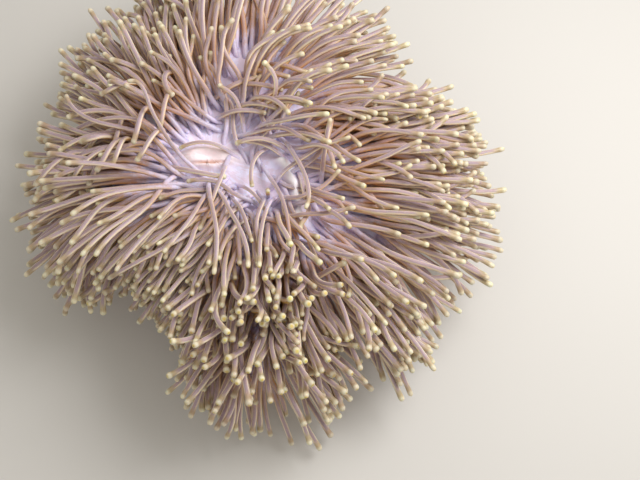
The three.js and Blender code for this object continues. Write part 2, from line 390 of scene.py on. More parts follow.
# ---- shader helpers ----
class Sheet:
    """A node tree being laid out, with short ways to add nodes and to join them."""

    def __init__(self, tree: bpy.types.NodeTree) -> None:
        """Keeps the tree."""
        self.tree = tree

    def add(self, kind: str, settings: dict | None = None, inputs: dict | None = None) -> bpy.types.Node:
        """Adds a node.

        Args:
            kind: The node's type.
            settings: Its properties.
            inputs: Its input sockets, by name or number, each a value or a socket to join to it.

        Returns:
            The node.
        """
        node = self.tree.nodes.new(kind)
        for name, value in (settings or {}).items():
            setattr(node, name, value)
        for name, value in (inputs or {}).items():
            if isinstance(value, bpy.types.NodeSocket):
                self.tree.links.new(value, node.inputs[name])
            else:
                node.inputs[name].default_value = value
        return node

    def join(self, source: bpy.types.NodeSocket, node: bpy.types.Node, name: str) -> None:
        """Joins a socket to a node's input."""
        self.tree.links.new(source, node.inputs[name])

    def mix(self, share: object, first: object, second: object) -> bpy.types.NodeSocket:
        """A colour between two, each a colour or a socket."""
        return self.add("ShaderNodeMix", {"data_type": "RGBA"}, {0: share, 6: first, 7: second}).outputs[2]

    def math(self, operation: str, first: object, second: object) -> bpy.types.NodeSocket:
        """The result of a sum on two values or sockets."""
        return self.add("ShaderNodeMath", {"operation": operation}, {0: first, 1: second}).outputs[0]

    def plus(self, first: object, second: object) -> bpy.types.NodeSocket:
        """Two values or sockets, added."""
        return self.math("ADD", first, second)

    def times(self, first: object, second: object) -> bpy.types.NodeSocket:
        """Two values or sockets, multiplied."""
        return self.math("MULTIPLY", first, second)

    def ramp(self, value: bpy.types.NodeSocket, start: float, end: float) -> bpy.types.NodeSocket:
        """A smooth step from 0 at start to 1 at end."""
        inputs = {"Value": value, "From Min": start, "From Max": end}
        return self.add("ShaderNodeMapRange", {"interpolation_type": "SMOOTHSTEP"}, inputs).outputs[0]

    def noise(self, vector: bpy.types.NodeSocket, scale: object, detail: float = 3.0) -> bpy.types.NodeSocket:
        """A smooth random value from 0 to 1, of a scale that is a value or a socket."""
        inputs = {"Vector": vector, "Scale": scale, "Detail": detail}
        return self.add("ShaderNodeTexNoise", None, inputs).outputs[0]

    def attribute(self, name: str) -> bpy.types.NodeSocket:
        """A number that the mesh carries."""
        return self.add("ShaderNodeAttribute", {"attribute_name": name}).outputs["Fac"]

    def place(self) -> bpy.types.NodeSocket:
        """Object coordinates."""
        return self.add("ShaderNodeTexCoord").outputs["Object"]


def make_group(name: str, inputs: dict[str, float], output: str, kind: str) -> tuple:
    """Starts a shader node group of one output.

    Args:
        name: Its name.
        inputs: Each input's default value.
        output: The output's name.
        kind: The output's socket type.

    Returns:
        The group, its sheet, and its input and output nodes.
    """
    group = bpy.data.node_groups.new(name, "ShaderNodeTree")
    for label, value in inputs.items():
        socket = group.interface.new_socket(label, in_out="INPUT", socket_type="NodeSocketFloat")
        socket.default_value = value
    group.interface.new_socket(output, in_out="OUTPUT", socket_type=kind)
    sheet = Sheet(group)
    return group, sheet, sheet.add("NodeGroupInput"), sheet.add("NodeGroupOutput")


def mottle_group(finer: float = 5.3, fine_share: float = 0.5) -> bpy.types.NodeTree:
    """Soft blotches of two sizes, as living flesh has, as one value about 0.

    Args:
        finer: How much smaller the small blotches are.
        fine_share: How strong they are beside the large ones.

    Returns:
        The group, with Scale and Amount in and Value out.
    """
    group, sheet, ins, outs = make_group(
        "flesh_mottle", {"Scale": 100.0, "Amount": 0.2}, "Value", "NodeSocketFloat")
    place, scale = sheet.place(), ins.outputs["Scale"]
    broad = sheet.noise(place, scale, 2.0)
    fine = sheet.noise(place, sheet.times(scale, finer))
    both = sheet.plus(broad, sheet.times(fine, fine_share))
    centred = sheet.math("SUBTRACT", both, (1 + fine_share) / 2)
    sheet.join(sheet.times(centred, ins.outputs["Amount"]), outs, "Value")
    return group


def grain_group(crease_scale: float = 0.6, relief: float = 0.0004) -> bpy.types.NodeTree:
    """Fine pores and creases of wet skin.

    Args:
        crease_scale: The creases' scale beside that of the pores.
        relief: How deep they look, in metres.

    Returns:
        The group, with Scale and Depth in, and Normal out.
    """
    group, sheet, ins, outs = make_group(
        "skin_grain", {"Scale": 900.0, "Depth": 0.3}, "Normal", "NodeSocketVector")
    place, scale = sheet.place(), ins.outputs["Scale"]
    pores = sheet.noise(place, scale, 4.0)
    creases = sheet.add("ShaderNodeTexVoronoi", {"feature": "SMOOTH_F1"}, {
        "Vector": place, "Scale": sheet.times(scale, crease_scale)})
    height = sheet.plus(pores, creases.outputs["Distance"])
    bump = sheet.add("ShaderNodeBump", None, {
        "Strength": ins.outputs["Depth"], "Distance": relief, "Height": height})
    sheet.join(bump.outputs[0], outs, "Normal")
    return group


@dataclass(frozen=True)
class Flesh:
    """How wet flesh takes light; a skin may change some of it.

    Attributes:
        roughness: How rough it is.
        translucency: How much light goes through its surface.
        scatter_depth: How far that light goes, in metres.
        scatter: How much of that depth red, green and blue have.
        gloss: How strong the wet film is.
        gloss_roughness: How rough the film is.
        bloom: How strong the pale edge is, where the surface is seen at a slant.
        bloom_roughness: How far that edge spreads.
        bloom_tint: Its colour.
        refraction: The index of refraction.
    """

    roughness: float = 0.42
    translucency: float = 0.35
    scatter_depth: float = 0.0022
    scatter: Point = (1.0, 0.68, 0.42)
    gloss: float = 0.14
    gloss_roughness: float = 0.28
    bloom: float = 0.12
    bloom_roughness: float = 0.35
    bloom_tint: Colour = srgb(250, 240, 226)
    refraction: float = 1.38

    def shader(self, sheet: Sheet) -> bpy.types.Node:
        """Adds the surface shader, with its constant values, to an empty material.

        Args:
            sheet: The material's sheet.

        Returns:
            The shader.
        """
        surface = sheet.add("ShaderNodeBsdfPrincipled", {"subsurface_method": "RANDOM_WALK"}, {
            "Roughness": self.roughness, "IOR": self.refraction,
            "Subsurface Weight": self.translucency, "Subsurface Radius": self.scatter,
            "Subsurface Scale": self.scatter_depth,
            "Coat Weight": self.gloss, "Coat Roughness": self.gloss_roughness,
            "Sheen Weight": self.bloom, "Sheen Roughness": self.bloom_roughness,
            "Sheen Tint": self.bloom_tint})
        sheet.add("ShaderNodeOutputMaterial", None, {"Surface": surface.outputs[0]})
        return surface


@dataclass(frozen=True)
class SkinFinish:
    """What the finishes of all the skins share: flesh with soft blotches and fine pores.

    Attributes:
        mottle: The flesh_mottle group.
        grain: The skin_grain group.
        flesh: How the flesh takes light.
        blotching: The scale and the amount of the blotches.
        pores: The scale and the depth of the pores.
        dryness: How much rougher the pale blotches are.
    """

    mottle: bpy.types.NodeTree
    grain: bpy.types.NodeTree
    flesh: Flesh = Flesh()
    blotching: tuple[float, float] = (160.0, 0.5)
    pores: tuple[float, float] = (1500.0, 0.25)
    dryness: float = 0.5

    def begin(self, name: str) -> tuple[bpy.types.Material, Sheet, bpy.types.Node, bpy.types.NodeSocket]:
        """Starts a material.

        Args:
            name: Its name.

        Returns:
            The material, its sheet, its surface shader, and its blotches as one value about 0.
        """
        material = new_material(name)
        sheet = Sheet(material.node_tree)
        blotch = sheet.add("ShaderNodeGroup", {"node_tree": self.mottle}, dict(
            zip(("Scale", "Amount"), self.blotching)))
        return material, sheet, self.flesh.shader(sheet), blotch.outputs[0]

    def cover(
            self, sheet: Sheet, surface: bpy.types.Node, colour: bpy.types.NodeSocket,
            blotch: bpy.types.NodeSocket) -> None:
        """Ends a material.

        Args:
            sheet: Its sheet.
            surface: Its surface shader, which the rest is joined to.
            colour: Its colour.
            blotch: Its blotches.
        """
        sheet.join(colour, surface, "Base Color")
        if self.dryness:
            rough = sheet.plus(self.flesh.roughness, sheet.times(blotch, self.dryness))
            sheet.join(rough, surface, "Roughness")
        pores = sheet.add("ShaderNodeGroup", {"node_tree": self.grain}, dict(
            zip(("Scale", "Depth"), self.pores)))
        sheet.join(pores.outputs[0], surface, "Normal")


@dataclass(frozen=True)
class TentacleFinish(SkinFinish):
    """A lavender root, a blunt yellow tip, and painted light and shade round each tentacle: a pinkish back
    for the light's reflection, cream rims for a pale edge highlight, ochre undersides for shade.

    A pair of numbers is where a colour starts and where it is full: on "back", which is 1 along the back
    and -1 underneath, or on "along", which is 0 at the root and 1 at the tip. The colours placed on "back"
    are the animal's own tones, laid out by which way the surface faces as painted light and shade.

    Attributes:
        back_highlight: The colour of the back, a painted reflection of the light, darker than the rims to
            even out the lamps' shading.
        rim: The colour beside the back, a painted pale edge highlight.
        underside_shade: The colour underneath, the animal's ochre laid on as painted shade.
        root: The colour at the root.
        band: The colour just before the tip.
        tip: The colour of the tip.
        end: The colour of the tip's end.
        deep: The ochre of painted shade low in the coat, where shade falls between tentacles.
        rim_highlight_start: The painted edge highlight's pair, on "back".
        back_highlight_start: The painted reflection's pair, on "back".
        back_highlight_wear: How much the blotches move the painted reflection's edges.
        coat_shade_on_sides: How strong that painted shade is on the rims and underneath.
        coat_shade_on_back: How strong it is over all of it, once more.
        root_start: The root's pair, on "along".
        inner_root: Added to "along" for the root, the more so towards the crown's middle.
        band_start: The band's pair, on "along".
        tip_start: The tip's pair, on "along".
        hue_spread: How much single tentacles differ in hue.
        brightness_spread: How much single tentacles differ in brightness.
    """

    back_highlight: Colour = srgb(170, 149, 157)
    rim: Colour = srgb(232, 217, 194)
    underside_shade: Colour = srgb(190, 142, 52)
    root: Colour = srgb(214, 204, 230)
    band: Colour = srgb(180, 160, 130)
    tip: Colour = srgb(212, 204, 180)
    end: Colour = srgb(204, 184, 104)
    deep: Colour = srgb(204, 150, 78)
    rim_highlight_start: tuple[float, float] = (-0.2, 0.1)
    back_highlight_start: tuple[float, float] = (0.5, 0.82)
    back_highlight_wear: float = 0.6
    coat_shade_on_sides: float = 0.85
    coat_shade_on_back: float = 0.3
    root_start: tuple[float, float] = (0.36, 0.06)
    inner_root: float = -0.06
    band_start: tuple[float, float] = (0.86, 0.95)
    tip_start: tuple[float, float] = (0.945, 0.98)
    hue_spread: float = 0.018
    brightness_spread: float = 0.1

    def material(self) -> bpy.types.Material:
        """Makes the material.

        Returns:
            The material, which reads a tentacle's "along", "back", "deep", "inner", "end" and "tint".
        """
        material, sheet, surface, blotch = self.begin("tentacle_flesh")
        along, tint = sheet.attribute("along"), sheet.attribute("tint")
        back, deep = sheet.attribute("back"), sheet.attribute("deep")
        # Painted light and shade by which way the surface faces: cream rims for a pale edge highlight, ochre
        # underneath for shade.
        rim_highlight_and_underside_shade = sheet.mix(sheet.ramp(back, *self.rim_highlight_start), self.underside_shade, self.rim)
        # Painted shade: ochre on the rims and underneath, low in the coat where shade falls between
        # tentacles.
        sides_with_coat_shade = sheet.mix(sheet.times(deep, self.coat_shade_on_sides), rim_highlight_and_underside_shade, self.deep)
        # Painted reflection: the darker pinkish back stands in for the light's lilac reflection along the
        # top.
        back_highlight_mask = sheet.plus(back, sheet.times(blotch, self.back_highlight_wear))
        lit_and_shaded = sheet.mix(sheet.ramp(back_highlight_mask, *self.back_highlight_start), sides_with_coat_shade, self.back_highlight)
        # Painted shade, more weakly, over the whole of it low in the coat.
        with_coat_shade = sheet.mix(sheet.times(deep, self.coat_shade_on_back), lit_and_shaded, self.deep)
        inner = sheet.times(sheet.attribute("inner"), self.inner_root)
        rooting = sheet.plus(sheet.plus(along, blotch), inner)
        rooted = sheet.mix(sheet.ramp(rooting, *self.root_start), with_coat_shade, self.root)
        banded = sheet.mix(sheet.ramp(along, *self.band_start), rooted, self.band)
        tipped = sheet.mix(sheet.ramp(along, *self.tip_start), banded, self.tip)
        ended = sheet.mix(sheet.attribute("end"), tipped, self.end)
        brightness = sheet.plus(sheet.plus(1.0, sheet.times(tint, self.brightness_spread)), blotch)
        shade = sheet.add("ShaderNodeHueSaturation", None, {
            "Hue": sheet.plus(0.5, sheet.times(tint, self.hue_spread)), "Saturation": 1.0,
            "Value": brightness, "Color": ended})
        self.cover(sheet, surface, shade.outputs[0], blotch)
        return material


@dataclass(frozen=True)
class BodyFinish(SkinFinish):
    """A lavender-white disc with painted shadow lines, pinkish-white lips, and a mauve column on a paler
    foot.

    Attributes:
        disc: The disc's colour.
        disc_shadow: Its painted shadow, in lines that run out from the mouth.
        pale: The colour of the fold beside the mouth.
        lips: The lips' colour.
        slit: The slit's colour, a brownish line that is partly the closed slit and partly painted shadow
            under the lips' south edge.
        column: The column's colour.
        column_shadow: The colour of its dark blotches.
        foot: The foot's colour.
        shadow_end: Where the dark blotches start to end and have ended, on the blotches' value.
        shadow_streaks: How close together the painted shadows lie round the mouth.
        shadow_streak_waves: How quickly they change outwards from it.
        shadow_streak_start: Where one of those painted shadows starts and is full, on their own random value.
        shadow_streak_strength: How strong the painted shadows are.
    """

    flesh: Flesh = Flesh(roughness=0.45, translucency=0.2, scatter=(1.0, 0.6, 0.6))
    blotching: tuple[float, float] = (60.0, 1.0)
    pores: tuple[float, float] = (700.0, 0.35)
    dryness: float = 0.3
    disc: Colour = srgb(232, 228, 255)
    disc_shadow: Colour = srgb(212, 186, 198)
    pale: Colour = srgb(246, 242, 250)
    lips: Colour = srgb(240, 224, 230)
    slit: Colour = srgb(196, 144, 122)
    column: Colour = srgb(142, 102, 134)
    column_shadow: Colour = srgb(104, 70, 100)
    foot: Colour = srgb(188, 150, 150)
    shadow_end: tuple[float, float] = (-0.2, 0.25)
    shadow_streaks: float = 9.0
    shadow_streak_waves: float = 30.0
    shadow_streak_start: tuple[float, float] = (0.62, 0.38)
    shadow_streak_strength: float = 0.5

    def material(self, mouth: Lips) -> bpy.types.Material:
        """Makes the material.

        Args:
            mouth: The lips, which the disc's streaks run out from.

        Returns:
            The material, which reads the skin's "disc", "pale", "lips", "slit" and "foot".
        """
        material, sheet, surface, blotch = self.begin("body_flesh")
        column = sheet.mix(sheet.ramp(blotch, *self.shadow_end), self.column_shadow, self.column)
        footed = sheet.mix(sheet.attribute("foot"), column, self.foot)
        fan = self.fan(sheet, mouth)
        # Painted shadow: darker lines out from the mouth stand in for the shade that the tentacles cast on
        # the disc.
        shadow_streak = sheet.ramp(sheet.plus(sheet.noise(fan, 1.0), blotch), *self.shadow_streak_start)
        disc = sheet.mix(sheet.times(shadow_streak, self.shadow_streak_strength), self.disc, self.disc_shadow)
        whitened = sheet.mix(sheet.attribute("pale"), disc, self.pale)
        lipped = sheet.mix(sheet.attribute("lips"), whitened, self.lips)
        # Partly painted shadow: the slit's brownish line near the lips' south edge stands for the shade under
        # that edge.
        slit_and_shadow = sheet.mix(sheet.attribute("slit"), lipped, self.slit)
        whole = sheet.mix(sheet.attribute("disc"), footed, slit_and_shadow)
        self.cover(sheet, surface, whole, blotch)
        return material

    def fan(self, sheet: Sheet, mouth: Lips) -> bpy.types.NodeSocket:
        """Coordinates that change quickly round the mouth and slowly outwards from it.

        Args:
            sheet: The material's sheet.
            mouth: The lips.

        Returns:
            The coordinates.
        """
        centred = sheet.add("ShaderNodeMapping", {"vector_type": "POINT"}, {
            "Vector": sheet.place(), "Location": (-mouth.x, -mouth.y, 0.0), "Scale": (1.0, 1.0, 0.0)})
        centred = centred.outputs[0]
        ray = sheet.add("ShaderNodeVectorMath", {"operation": "NORMALIZE"}, {0: centred})
        reach = sheet.add("ShaderNodeVectorMath", {"operation": "SCALE"}, {
            0: centred, "Scale": self.shadow_streak_waves})
        fan = sheet.add("ShaderNodeVectorMath", {"operation": "MULTIPLY_ADD"}, {
            0: ray.outputs[0], 1: (self.shadow_streaks,) * 3, 2: reach.outputs[0]})
        return fan.outputs[0]


@dataclass(frozen=True)
class WartFinish(SkinFinish):
    """Pale, sticky warts on the mauve column.

    Attributes:
        base: The colour at a wart's foot.
        crown: The colour on its top.
        crown_start: Where the top's colour starts and is full, on "along".
    """

    flesh: Flesh = Flesh(roughness=0.38)
    blotching: tuple[float, float] = (200.0, 0.4)
    pores: tuple[float, float] = (1800.0, 0.2)
    dryness: float = 0.0
    base: Colour = srgb(150, 110, 140)
    crown: Colour = srgb(206, 172, 190)
    crown_start: tuple[float, float] = (0.2, 0.9)

    def material(self) -> bpy.types.Material:
        """Makes the material.

        Returns:
            The material, which reads the warts' "along".
        """
        material, sheet, surface, blotch = self.begin("wart_flesh")
        height = sheet.plus(sheet.attribute("along"), blotch)
        colour = sheet.mix(sheet.ramp(height, *self.crown_start), self.base, self.crown)
        self.cover(sheet, surface, colour, blotch)
        return material


@dataclass(frozen=True)
class FloorFinish:
    """A plain, pale, matt floor.

    Attributes:
        colour: Its colour.
        cloud: The colour of the soft clouds on it.
        cloud_scale: How many clouds there are to a metre, roughly.
        clouded: How strong they are.
        roughness: How rough it is.
    """

    colour: Colour = srgb(206, 204, 200)
    cloud: Colour = srgb(255, 255, 255)
    cloud_scale: float = 3.0
    clouded: float = 0.05
    roughness: float = 0.85

    def material(self) -> bpy.types.Material:
        """Makes the material.

        Returns:
            The material.
        """
        material = new_material("pale_floor")
        sheet = Sheet(material.node_tree)
        cloudy = sheet.times(sheet.noise(sheet.place(), self.cloud_scale), self.clouded)
        colour = sheet.mix(cloudy, self.colour, self.cloud)
        surface = sheet.add("ShaderNodeBsdfPrincipled", None, {
            "Base Color": colour, "Roughness": self.roughness})
        sheet.add("ShaderNodeOutputMaterial", None, {"Surface": surface.outputs[0]})
        return material


def new_material(name: str) -> bpy.types.Material:
    """Starts a material that has no nodes yet.

    Args:
        name: Its name.

    Returns:
        The material.
    """
    material = bpy.data.materials.new(name)
    material.use_nodes = True
    material.node_tree.nodes.clear()
    return material


# ---- mesh helpers ----
def coordinates(mesh: bpy.types.Mesh) -> np.ndarray:
    """Where a mesh's points are.

    Args:
        mesh: The mesh.

    Returns:
        The points, one row each.
    """
    flat = np.empty(3 * len(mesh.vertices), np.float32)
    mesh.vertices.foreach_get("co", flat)
    return flat.reshape(-1, 3).astype(float)


def place_points(mesh: bpy.types.Mesh, points: np.ndarray) -> None:
    """Moves the mesh's points."""
    mesh.vertices.foreach_set("co", points.astype(np.float32).ravel())
    mesh.update()


def carry(mesh: bpy.types.Mesh, name: str, values: np.ndarray) -> None:
    """Gives each point of the mesh a number that its material reads."""
    layer = mesh.attributes.new(name, "FLOAT", "POINT")
    layer.data.foreach_set("value", values.astype(np.float32).ravel())


def rolled_grid(columns: int, rows: int) -> bmesh.types.BMesh:
    """A square grid from 0 to 1 each way, with its bake map, ready to be rolled into a tube.

    Args:
        columns: Faces round the tube.
        rows: Faces along it.

    Returns:
        The grid, x round the tube and y along it.
    """
    made = bmesh.new()
    made.loops.layers.uv.new(BAKE_MAP)
    bmesh.ops.create_grid(made, x_segments=columns, y_segments=rows, size=0.5, calc_uvs=True)
    bmesh.ops.translate(made, verts=made.verts, vec=(0.5, 0.5, 0.0))
    return made


def poured(made: bmesh.types.BMesh, name: str) -> bpy.types.Mesh:
    """A new mesh from one that was being edited.

    Args:
        made: The edited mesh, which is freed.
        name: The new one's name.

    Returns:
        The new mesh.
    """
    mesh = bpy.data.meshes.new(name)
    made.to_mesh(mesh)
    made.free()
    return mesh


def turned(name: str, outline: Outline, sides: int) -> bpy.types.Mesh:
    """A small closed shape, made by turning an outline round z, with its bake map.

    Args:
        name: The mesh's name.
        outline: The height and the radius of each ring, from the foot up.
        sides: Faces round it.

    Returns:
        The mesh.
    """
    made = rolled_grid(sides, len(outline) - 1)
    for vertex in made.verts:
        turn, row = 2 * math.pi * vertex.co.x, round(vertex.co.y * (len(outline) - 1))
        height, wide = outline[row]
        vertex.co = (wide * math.cos(turn), wide * math.sin(turn), height)
    bmesh.ops.remove_doubles(made, verts=made.verts, dist=1e-5)
    bmesh.ops.holes_fill(made, edges=made.edges, sides=sides)
    return poured(made, name)


def copied(name: str, one: bpy.types.Mesh, copies: int, border: float = 0.06) -> bpy.types.Mesh:
    """Several copies of a mesh as one, with a patch of the bake map for each.

    Args:
        name: The joined mesh's name.
        one: The mesh.
        copies: How many.
        border: The share of a patch that is left free at each of its sides.

    Returns:
        The joined mesh.
    """
    made = bmesh.new()
    for _ in range(copies):
        made.from_mesh(one)
    mesh = poured(made, name)
    patch = np.empty(2 * len(one.loops), np.float32)
    one.uv_layers[BAKE_MAP].uv.foreach_get("vector", patch)
    across = math.ceil(math.sqrt(2 * copies))
    down = math.ceil(copies / across)
    number = np.arange(copies)
    corner = np.stack([number % across / across, number // across / down], -1)
    size = np.array([1 / across, 1 / down])
    placed = corner[:, None] + (border + (1 - 2 * border) * patch.reshape(1, -1, 2)) * size
    mesh.uv_layers[BAKE_MAP].uv.foreach_set("vector", placed.astype(np.float32).ravel())
    return mesh


def finished(
        name: str, mesh: bpy.types.Mesh, material: bpy.types.Material, levels: int = 0) -> bpy.types.Object:
    """Wraps a mesh as a smooth piece that rides on the animal.

    Args:
        name: The piece's name.
        mesh: Its mesh.
        material: Its finish.
        levels: Subdivision levels.

    Returns:
        The object, linked to the scene.
    """
    mesh.materials.clear()
    mesh.materials.append(material)
    mesh.shade_smooth()
    piece = bpy.data.objects.new(name, mesh)
    bpy.context.scene.collection.objects.link(piece)
    if levels:
        smooth = piece.modifiers.new("smooth", "SUBSURF")
        smooth.levels = smooth.render_levels = levels
    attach(piece, "root")
    log.info("%s: %d faces before smoothing", name, len(mesh.polygons))
    return piece


# ---- body ----
class Section(Enum):
    """The bands of the skin, in order from the middle of the sole to the mouth."""

    SOLE = "sole"
    EDGE = "edge"
    COLUMN = "column"
    UNDERSIDE = "underside"
    MARGIN = "margin"
    TOP = "top"

    @property
    def number(self) -> int:
        """Its place in the order."""
        return list(Section).index(self)


@dataclass
class BodySkin:
    """One closed skin over the foot, column, disc and lips.

    Attributes:
        disc: The form of the disc's top.
        mouth: The lips.
        ridge: The fold beside them.
        columns: Faces round it.
        rows: Rows of faces in each band.
        foot_radius: The foot's radius.
        foot_height: The foot's thickness.
        foot_edge: How far the foot's rounded edge bulges.
        scallops: How many scallops the edge has.
        scallop: How far they stand out.
        column_foot: The radius to which the foot's upper side is drawn in, with the edge counted.
        column_radii: The column's radius at shares of its height.
        column_top: The radius at which the column meets the underside.
        column_below: How far below the underside the column's own band ends.
        underside_start: How much further out the underside's band starts.
        top_crowding: 1 is even; more draws the top's rows towards the margin.
        flutes: How many flutes run up the column.
        flute_depth: Half their depth.
        wrinkles: How many wrinkles lie one above another on the column.
        wrinkle_depth: Half their depth.
        wrinkle_rest: The share of it that is left at the top.
        wander: How far the wrinkles rise and fall, in radians of one wrinkle.
        wander_turns: How many times round they do this.
        waver_turns: How many times round they waver on their way.
        wrinkled_height: The height at which flutes and wrinkles end.
        thickness_at_column: The disc's thickness in its middle.
        thickness_at_margin: The disc's thickness at its margin.
        join_rounds: How many times the joins between bands are smoothed.
        still_foot_rows: How many rows above the sole this leaves alone, with the sole.
        smoothed_top_rows: How many rows of the top it takes in, from the margin.
        mouth_span: How far out the top's rows are drawn to the mouth.
        mouth_stretch: How much they are stretched along it.
        mouth_squeeze: How much they are squeezed across it.
        foot_fade: Where the foot's colour fades, in heights of the foot.
    """

    disc: OralDisc
    mouth: Lips
    ridge: Ridge
    columns: int = 324
    rows: dict[Section, int] = field(default_factory=lambda: {
        Section.SOLE: 6, Section.EDGE: 12, Section.COLUMN: 46, Section.UNDERSIDE: 26, Section.MARGIN: 8,
        Section.TOP: 84})
    foot_radius: float = 0.074
    foot_height: float = 0.013
    foot_edge: float = 0.004
    scallops: int = 9
    scallop: float = 0.0025
    column_foot: float = 0.060
    column_radii: Outline = (
        (0.0, 0.0585), (0.1, 0.055), (0.32, 0.049), (0.65, 0.045), (0.9, 0.0465), (1.0, 0.049))
    column_top: float = 0.047
    column_below: float = 0.004
    underside_start: float = 0.006
    top_crowding: float = 1.15
    flutes: int = 12
    flute_depth: float = 0.0014
    wrinkles: int = 15
    wrinkle_depth: float = 0.0007
    wrinkle_rest: float = 0.4
    wander: float = 1.7
    wander_turns: int = 3
    waver_turns: int = 7
    wrinkled_height: float = 0.095
    thickness_at_column: float = 0.009
    thickness_at_margin: float = 0.005
    join_rounds: int = 14
    still_foot_rows: int = 3
    smoothed_top_rows: int = 4
    mouth_span: float = 0.3
    mouth_stretch: float = 0.5
    mouth_squeeze: float = 0.35
    foot_fade: tuple[float, float] = (0.5, 2.2)

    def profile(self, section: Section, azimuth: np.ndarray) -> np.ndarray:
        """One band of the skin before it is smoothed.

        Args:
            section: Which band.
            azimuth: Azimuths in radians.

        Returns:
            Radius and height, for each row and azimuth.
        """
        share = (np.arange(self.rows[section]) / self.rows[section])[:, None]
        ones = np.ones_like(azimuth)[None, :]
        angle = azimuth[None, :] * np.ones_like(share)
        grown = 1 + (self.scallop / self.foot_radius) * np.sin(self.scallops * azimuth)[None, :]
        if section is Section.SOLE:
            return np.stack([share * (self.foot_radius - self.foot_edge) * grown, 0 * share * ones], -1)
        if section is Section.EDGE:
            turn = np.pi * (share - 0.5)
            drawn_in = (self.column_foot - self.foot_radius) * ease(share, 0.5, 1)
            waist = self.foot_radius - self.foot_edge + drawn_in
            scalloped = 1 + (grown - 1) * (1 - ease(share, 0.4, 1))
            radius = (waist + self.foot_edge * np.cos(turn)) * scalloped
            return np.stack([radius, self.foot_height * (0.5 + 0.5 * np.sin(turn)) * ones], -1)
        if section is Section.COLUMN:
            top = self.under(azimuth, self.disc.span_at(azimuth, self.column_top * ones[0]))[..., 1][None, :]
            stations = np.array(self.column_radii)
            radius = np.interp(share, stations[:, 0], stations[:, 1])
            tall = top - self.column_below - self.foot_height
            return np.stack([radius * ones, self.foot_height + share * tall], -1)
        if section is Section.UNDERSIDE:
            start = (self.column_top + self.underside_start) * ones[0]
            first = self.disc.span_at(azimuth, start)[None, :]
            return self.under(angle, first + share * (1 - first))
        if section is Section.MARGIN:
            top, out, normal = self.rim(azimuth)
            half = self.thickness_at_margin / 2
            turn = (np.pi * share)[..., None]
            return (top - half * normal)[None] + half * (np.sin(turn) * out - np.cos(turn) * normal)
        span = (1 - share**self.top_crowding) * ones
        return np.stack([self.disc.plan_radius(angle, span), self.disc.height(angle, span)], -1)

    def slope(self, azimuth: np.ndarray, span: np.ndarray) -> tuple[np.ndarray, np.ndarray, np.ndarray]:
        """How the disc's top runs, as radius and height.

        Args:
            azimuth: Azimuths in radians.
            span: Shares of the way from the middle to the margin.

        Returns:
            The points, the ways outward along the top there, and the ways out of it.
        """
        step = 1e-3
        here, before = (
            np.stack([self.disc.plan_radius(azimuth, s), self.disc.height(azimuth, s)], -1)
            for s in (span, span - step))
        out = unit(here - before)
        return here, out, np.stack([-out[..., 1], out[..., 0]], -1)

    def rim(self, azimuth: np.ndarray) -> tuple[np.ndarray, np.ndarray, np.ndarray]:
        """The slope at the margin."""
        return self.slope(azimuth, np.ones_like(azimuth))

    def under(self, azimuth: np.ndarray, span: np.ndarray) -> np.ndarray:
        """The disc's underside.

        Args:
            azimuth: Azimuths in radians.
            span: Shares of the way from the middle to the margin.

        Returns:
            Radius and height, for each azimuth and span.
        """
        top, _, normal = self.slope(azimuth, span)
        thick = self.thickness_at_column + (self.thickness_at_margin - self.thickness_at_column) * span
        return top - thick[..., None] * normal

    def build(self) -> bpy.types.Mesh:
        """Rolls one grid round the axis and lays it on the profiles.

        Returns:
            The skin's mesh, with the numbers that its material reads.
        """
        bands = [np.full(self.rows[s], i) for i, s in enumerate(Section)]
        band = np.append(np.concatenate(bands), len(Section) - 1)
        azimuth = np.linspace(0, 2 * np.pi, self.columns + 1)
        line = np.concatenate([*(self.profile(s, azimuth) for s in Section), self.disc_middle(azimuth)])
        free = np.ones(len(band))
        free[: self.rows[Section.SOLE] + self.still_foot_rows] = 0
        free[-self.rows[Section.TOP] + self.smoothed_top_rows:] = 0
        for _ in range(self.join_rounds):
            middle = 0.5 * (line[:-2] + line[2:]) - line[1:-1]
            line[1:-1] += 0.5 * free[1:-1, None, None] * middle
        mesh = poured(rolled_grid(self.columns, len(band) - 1), "body_skin")
        grid = coordinates(mesh)
        column = np.rint(grid[:, 0] * self.columns).astype(int)
        row = np.rint(grid[:, 1] * (len(band) - 1)).astype(int)
        radius, height = line[row, column].T
        points = level(azimuth[column]) * radius[:, None]
        points[:, 2] = height
        where = band[row]
        points = self.flesh_out(points, azimuth[column], where)
        place_points(mesh, points)
        self.mark(mesh, points, where, row)
        self.close(mesh)
        return mesh

    def disc_middle(self, azimuth: np.ndarray) -> np.ndarray:
        """The last row, at the middle of the disc."""
        height = np.full_like(azimuth, self.disc.mouth_height - self.disc.dish)
        return np.stack([np.zeros_like(azimuth), height], -1)[None]

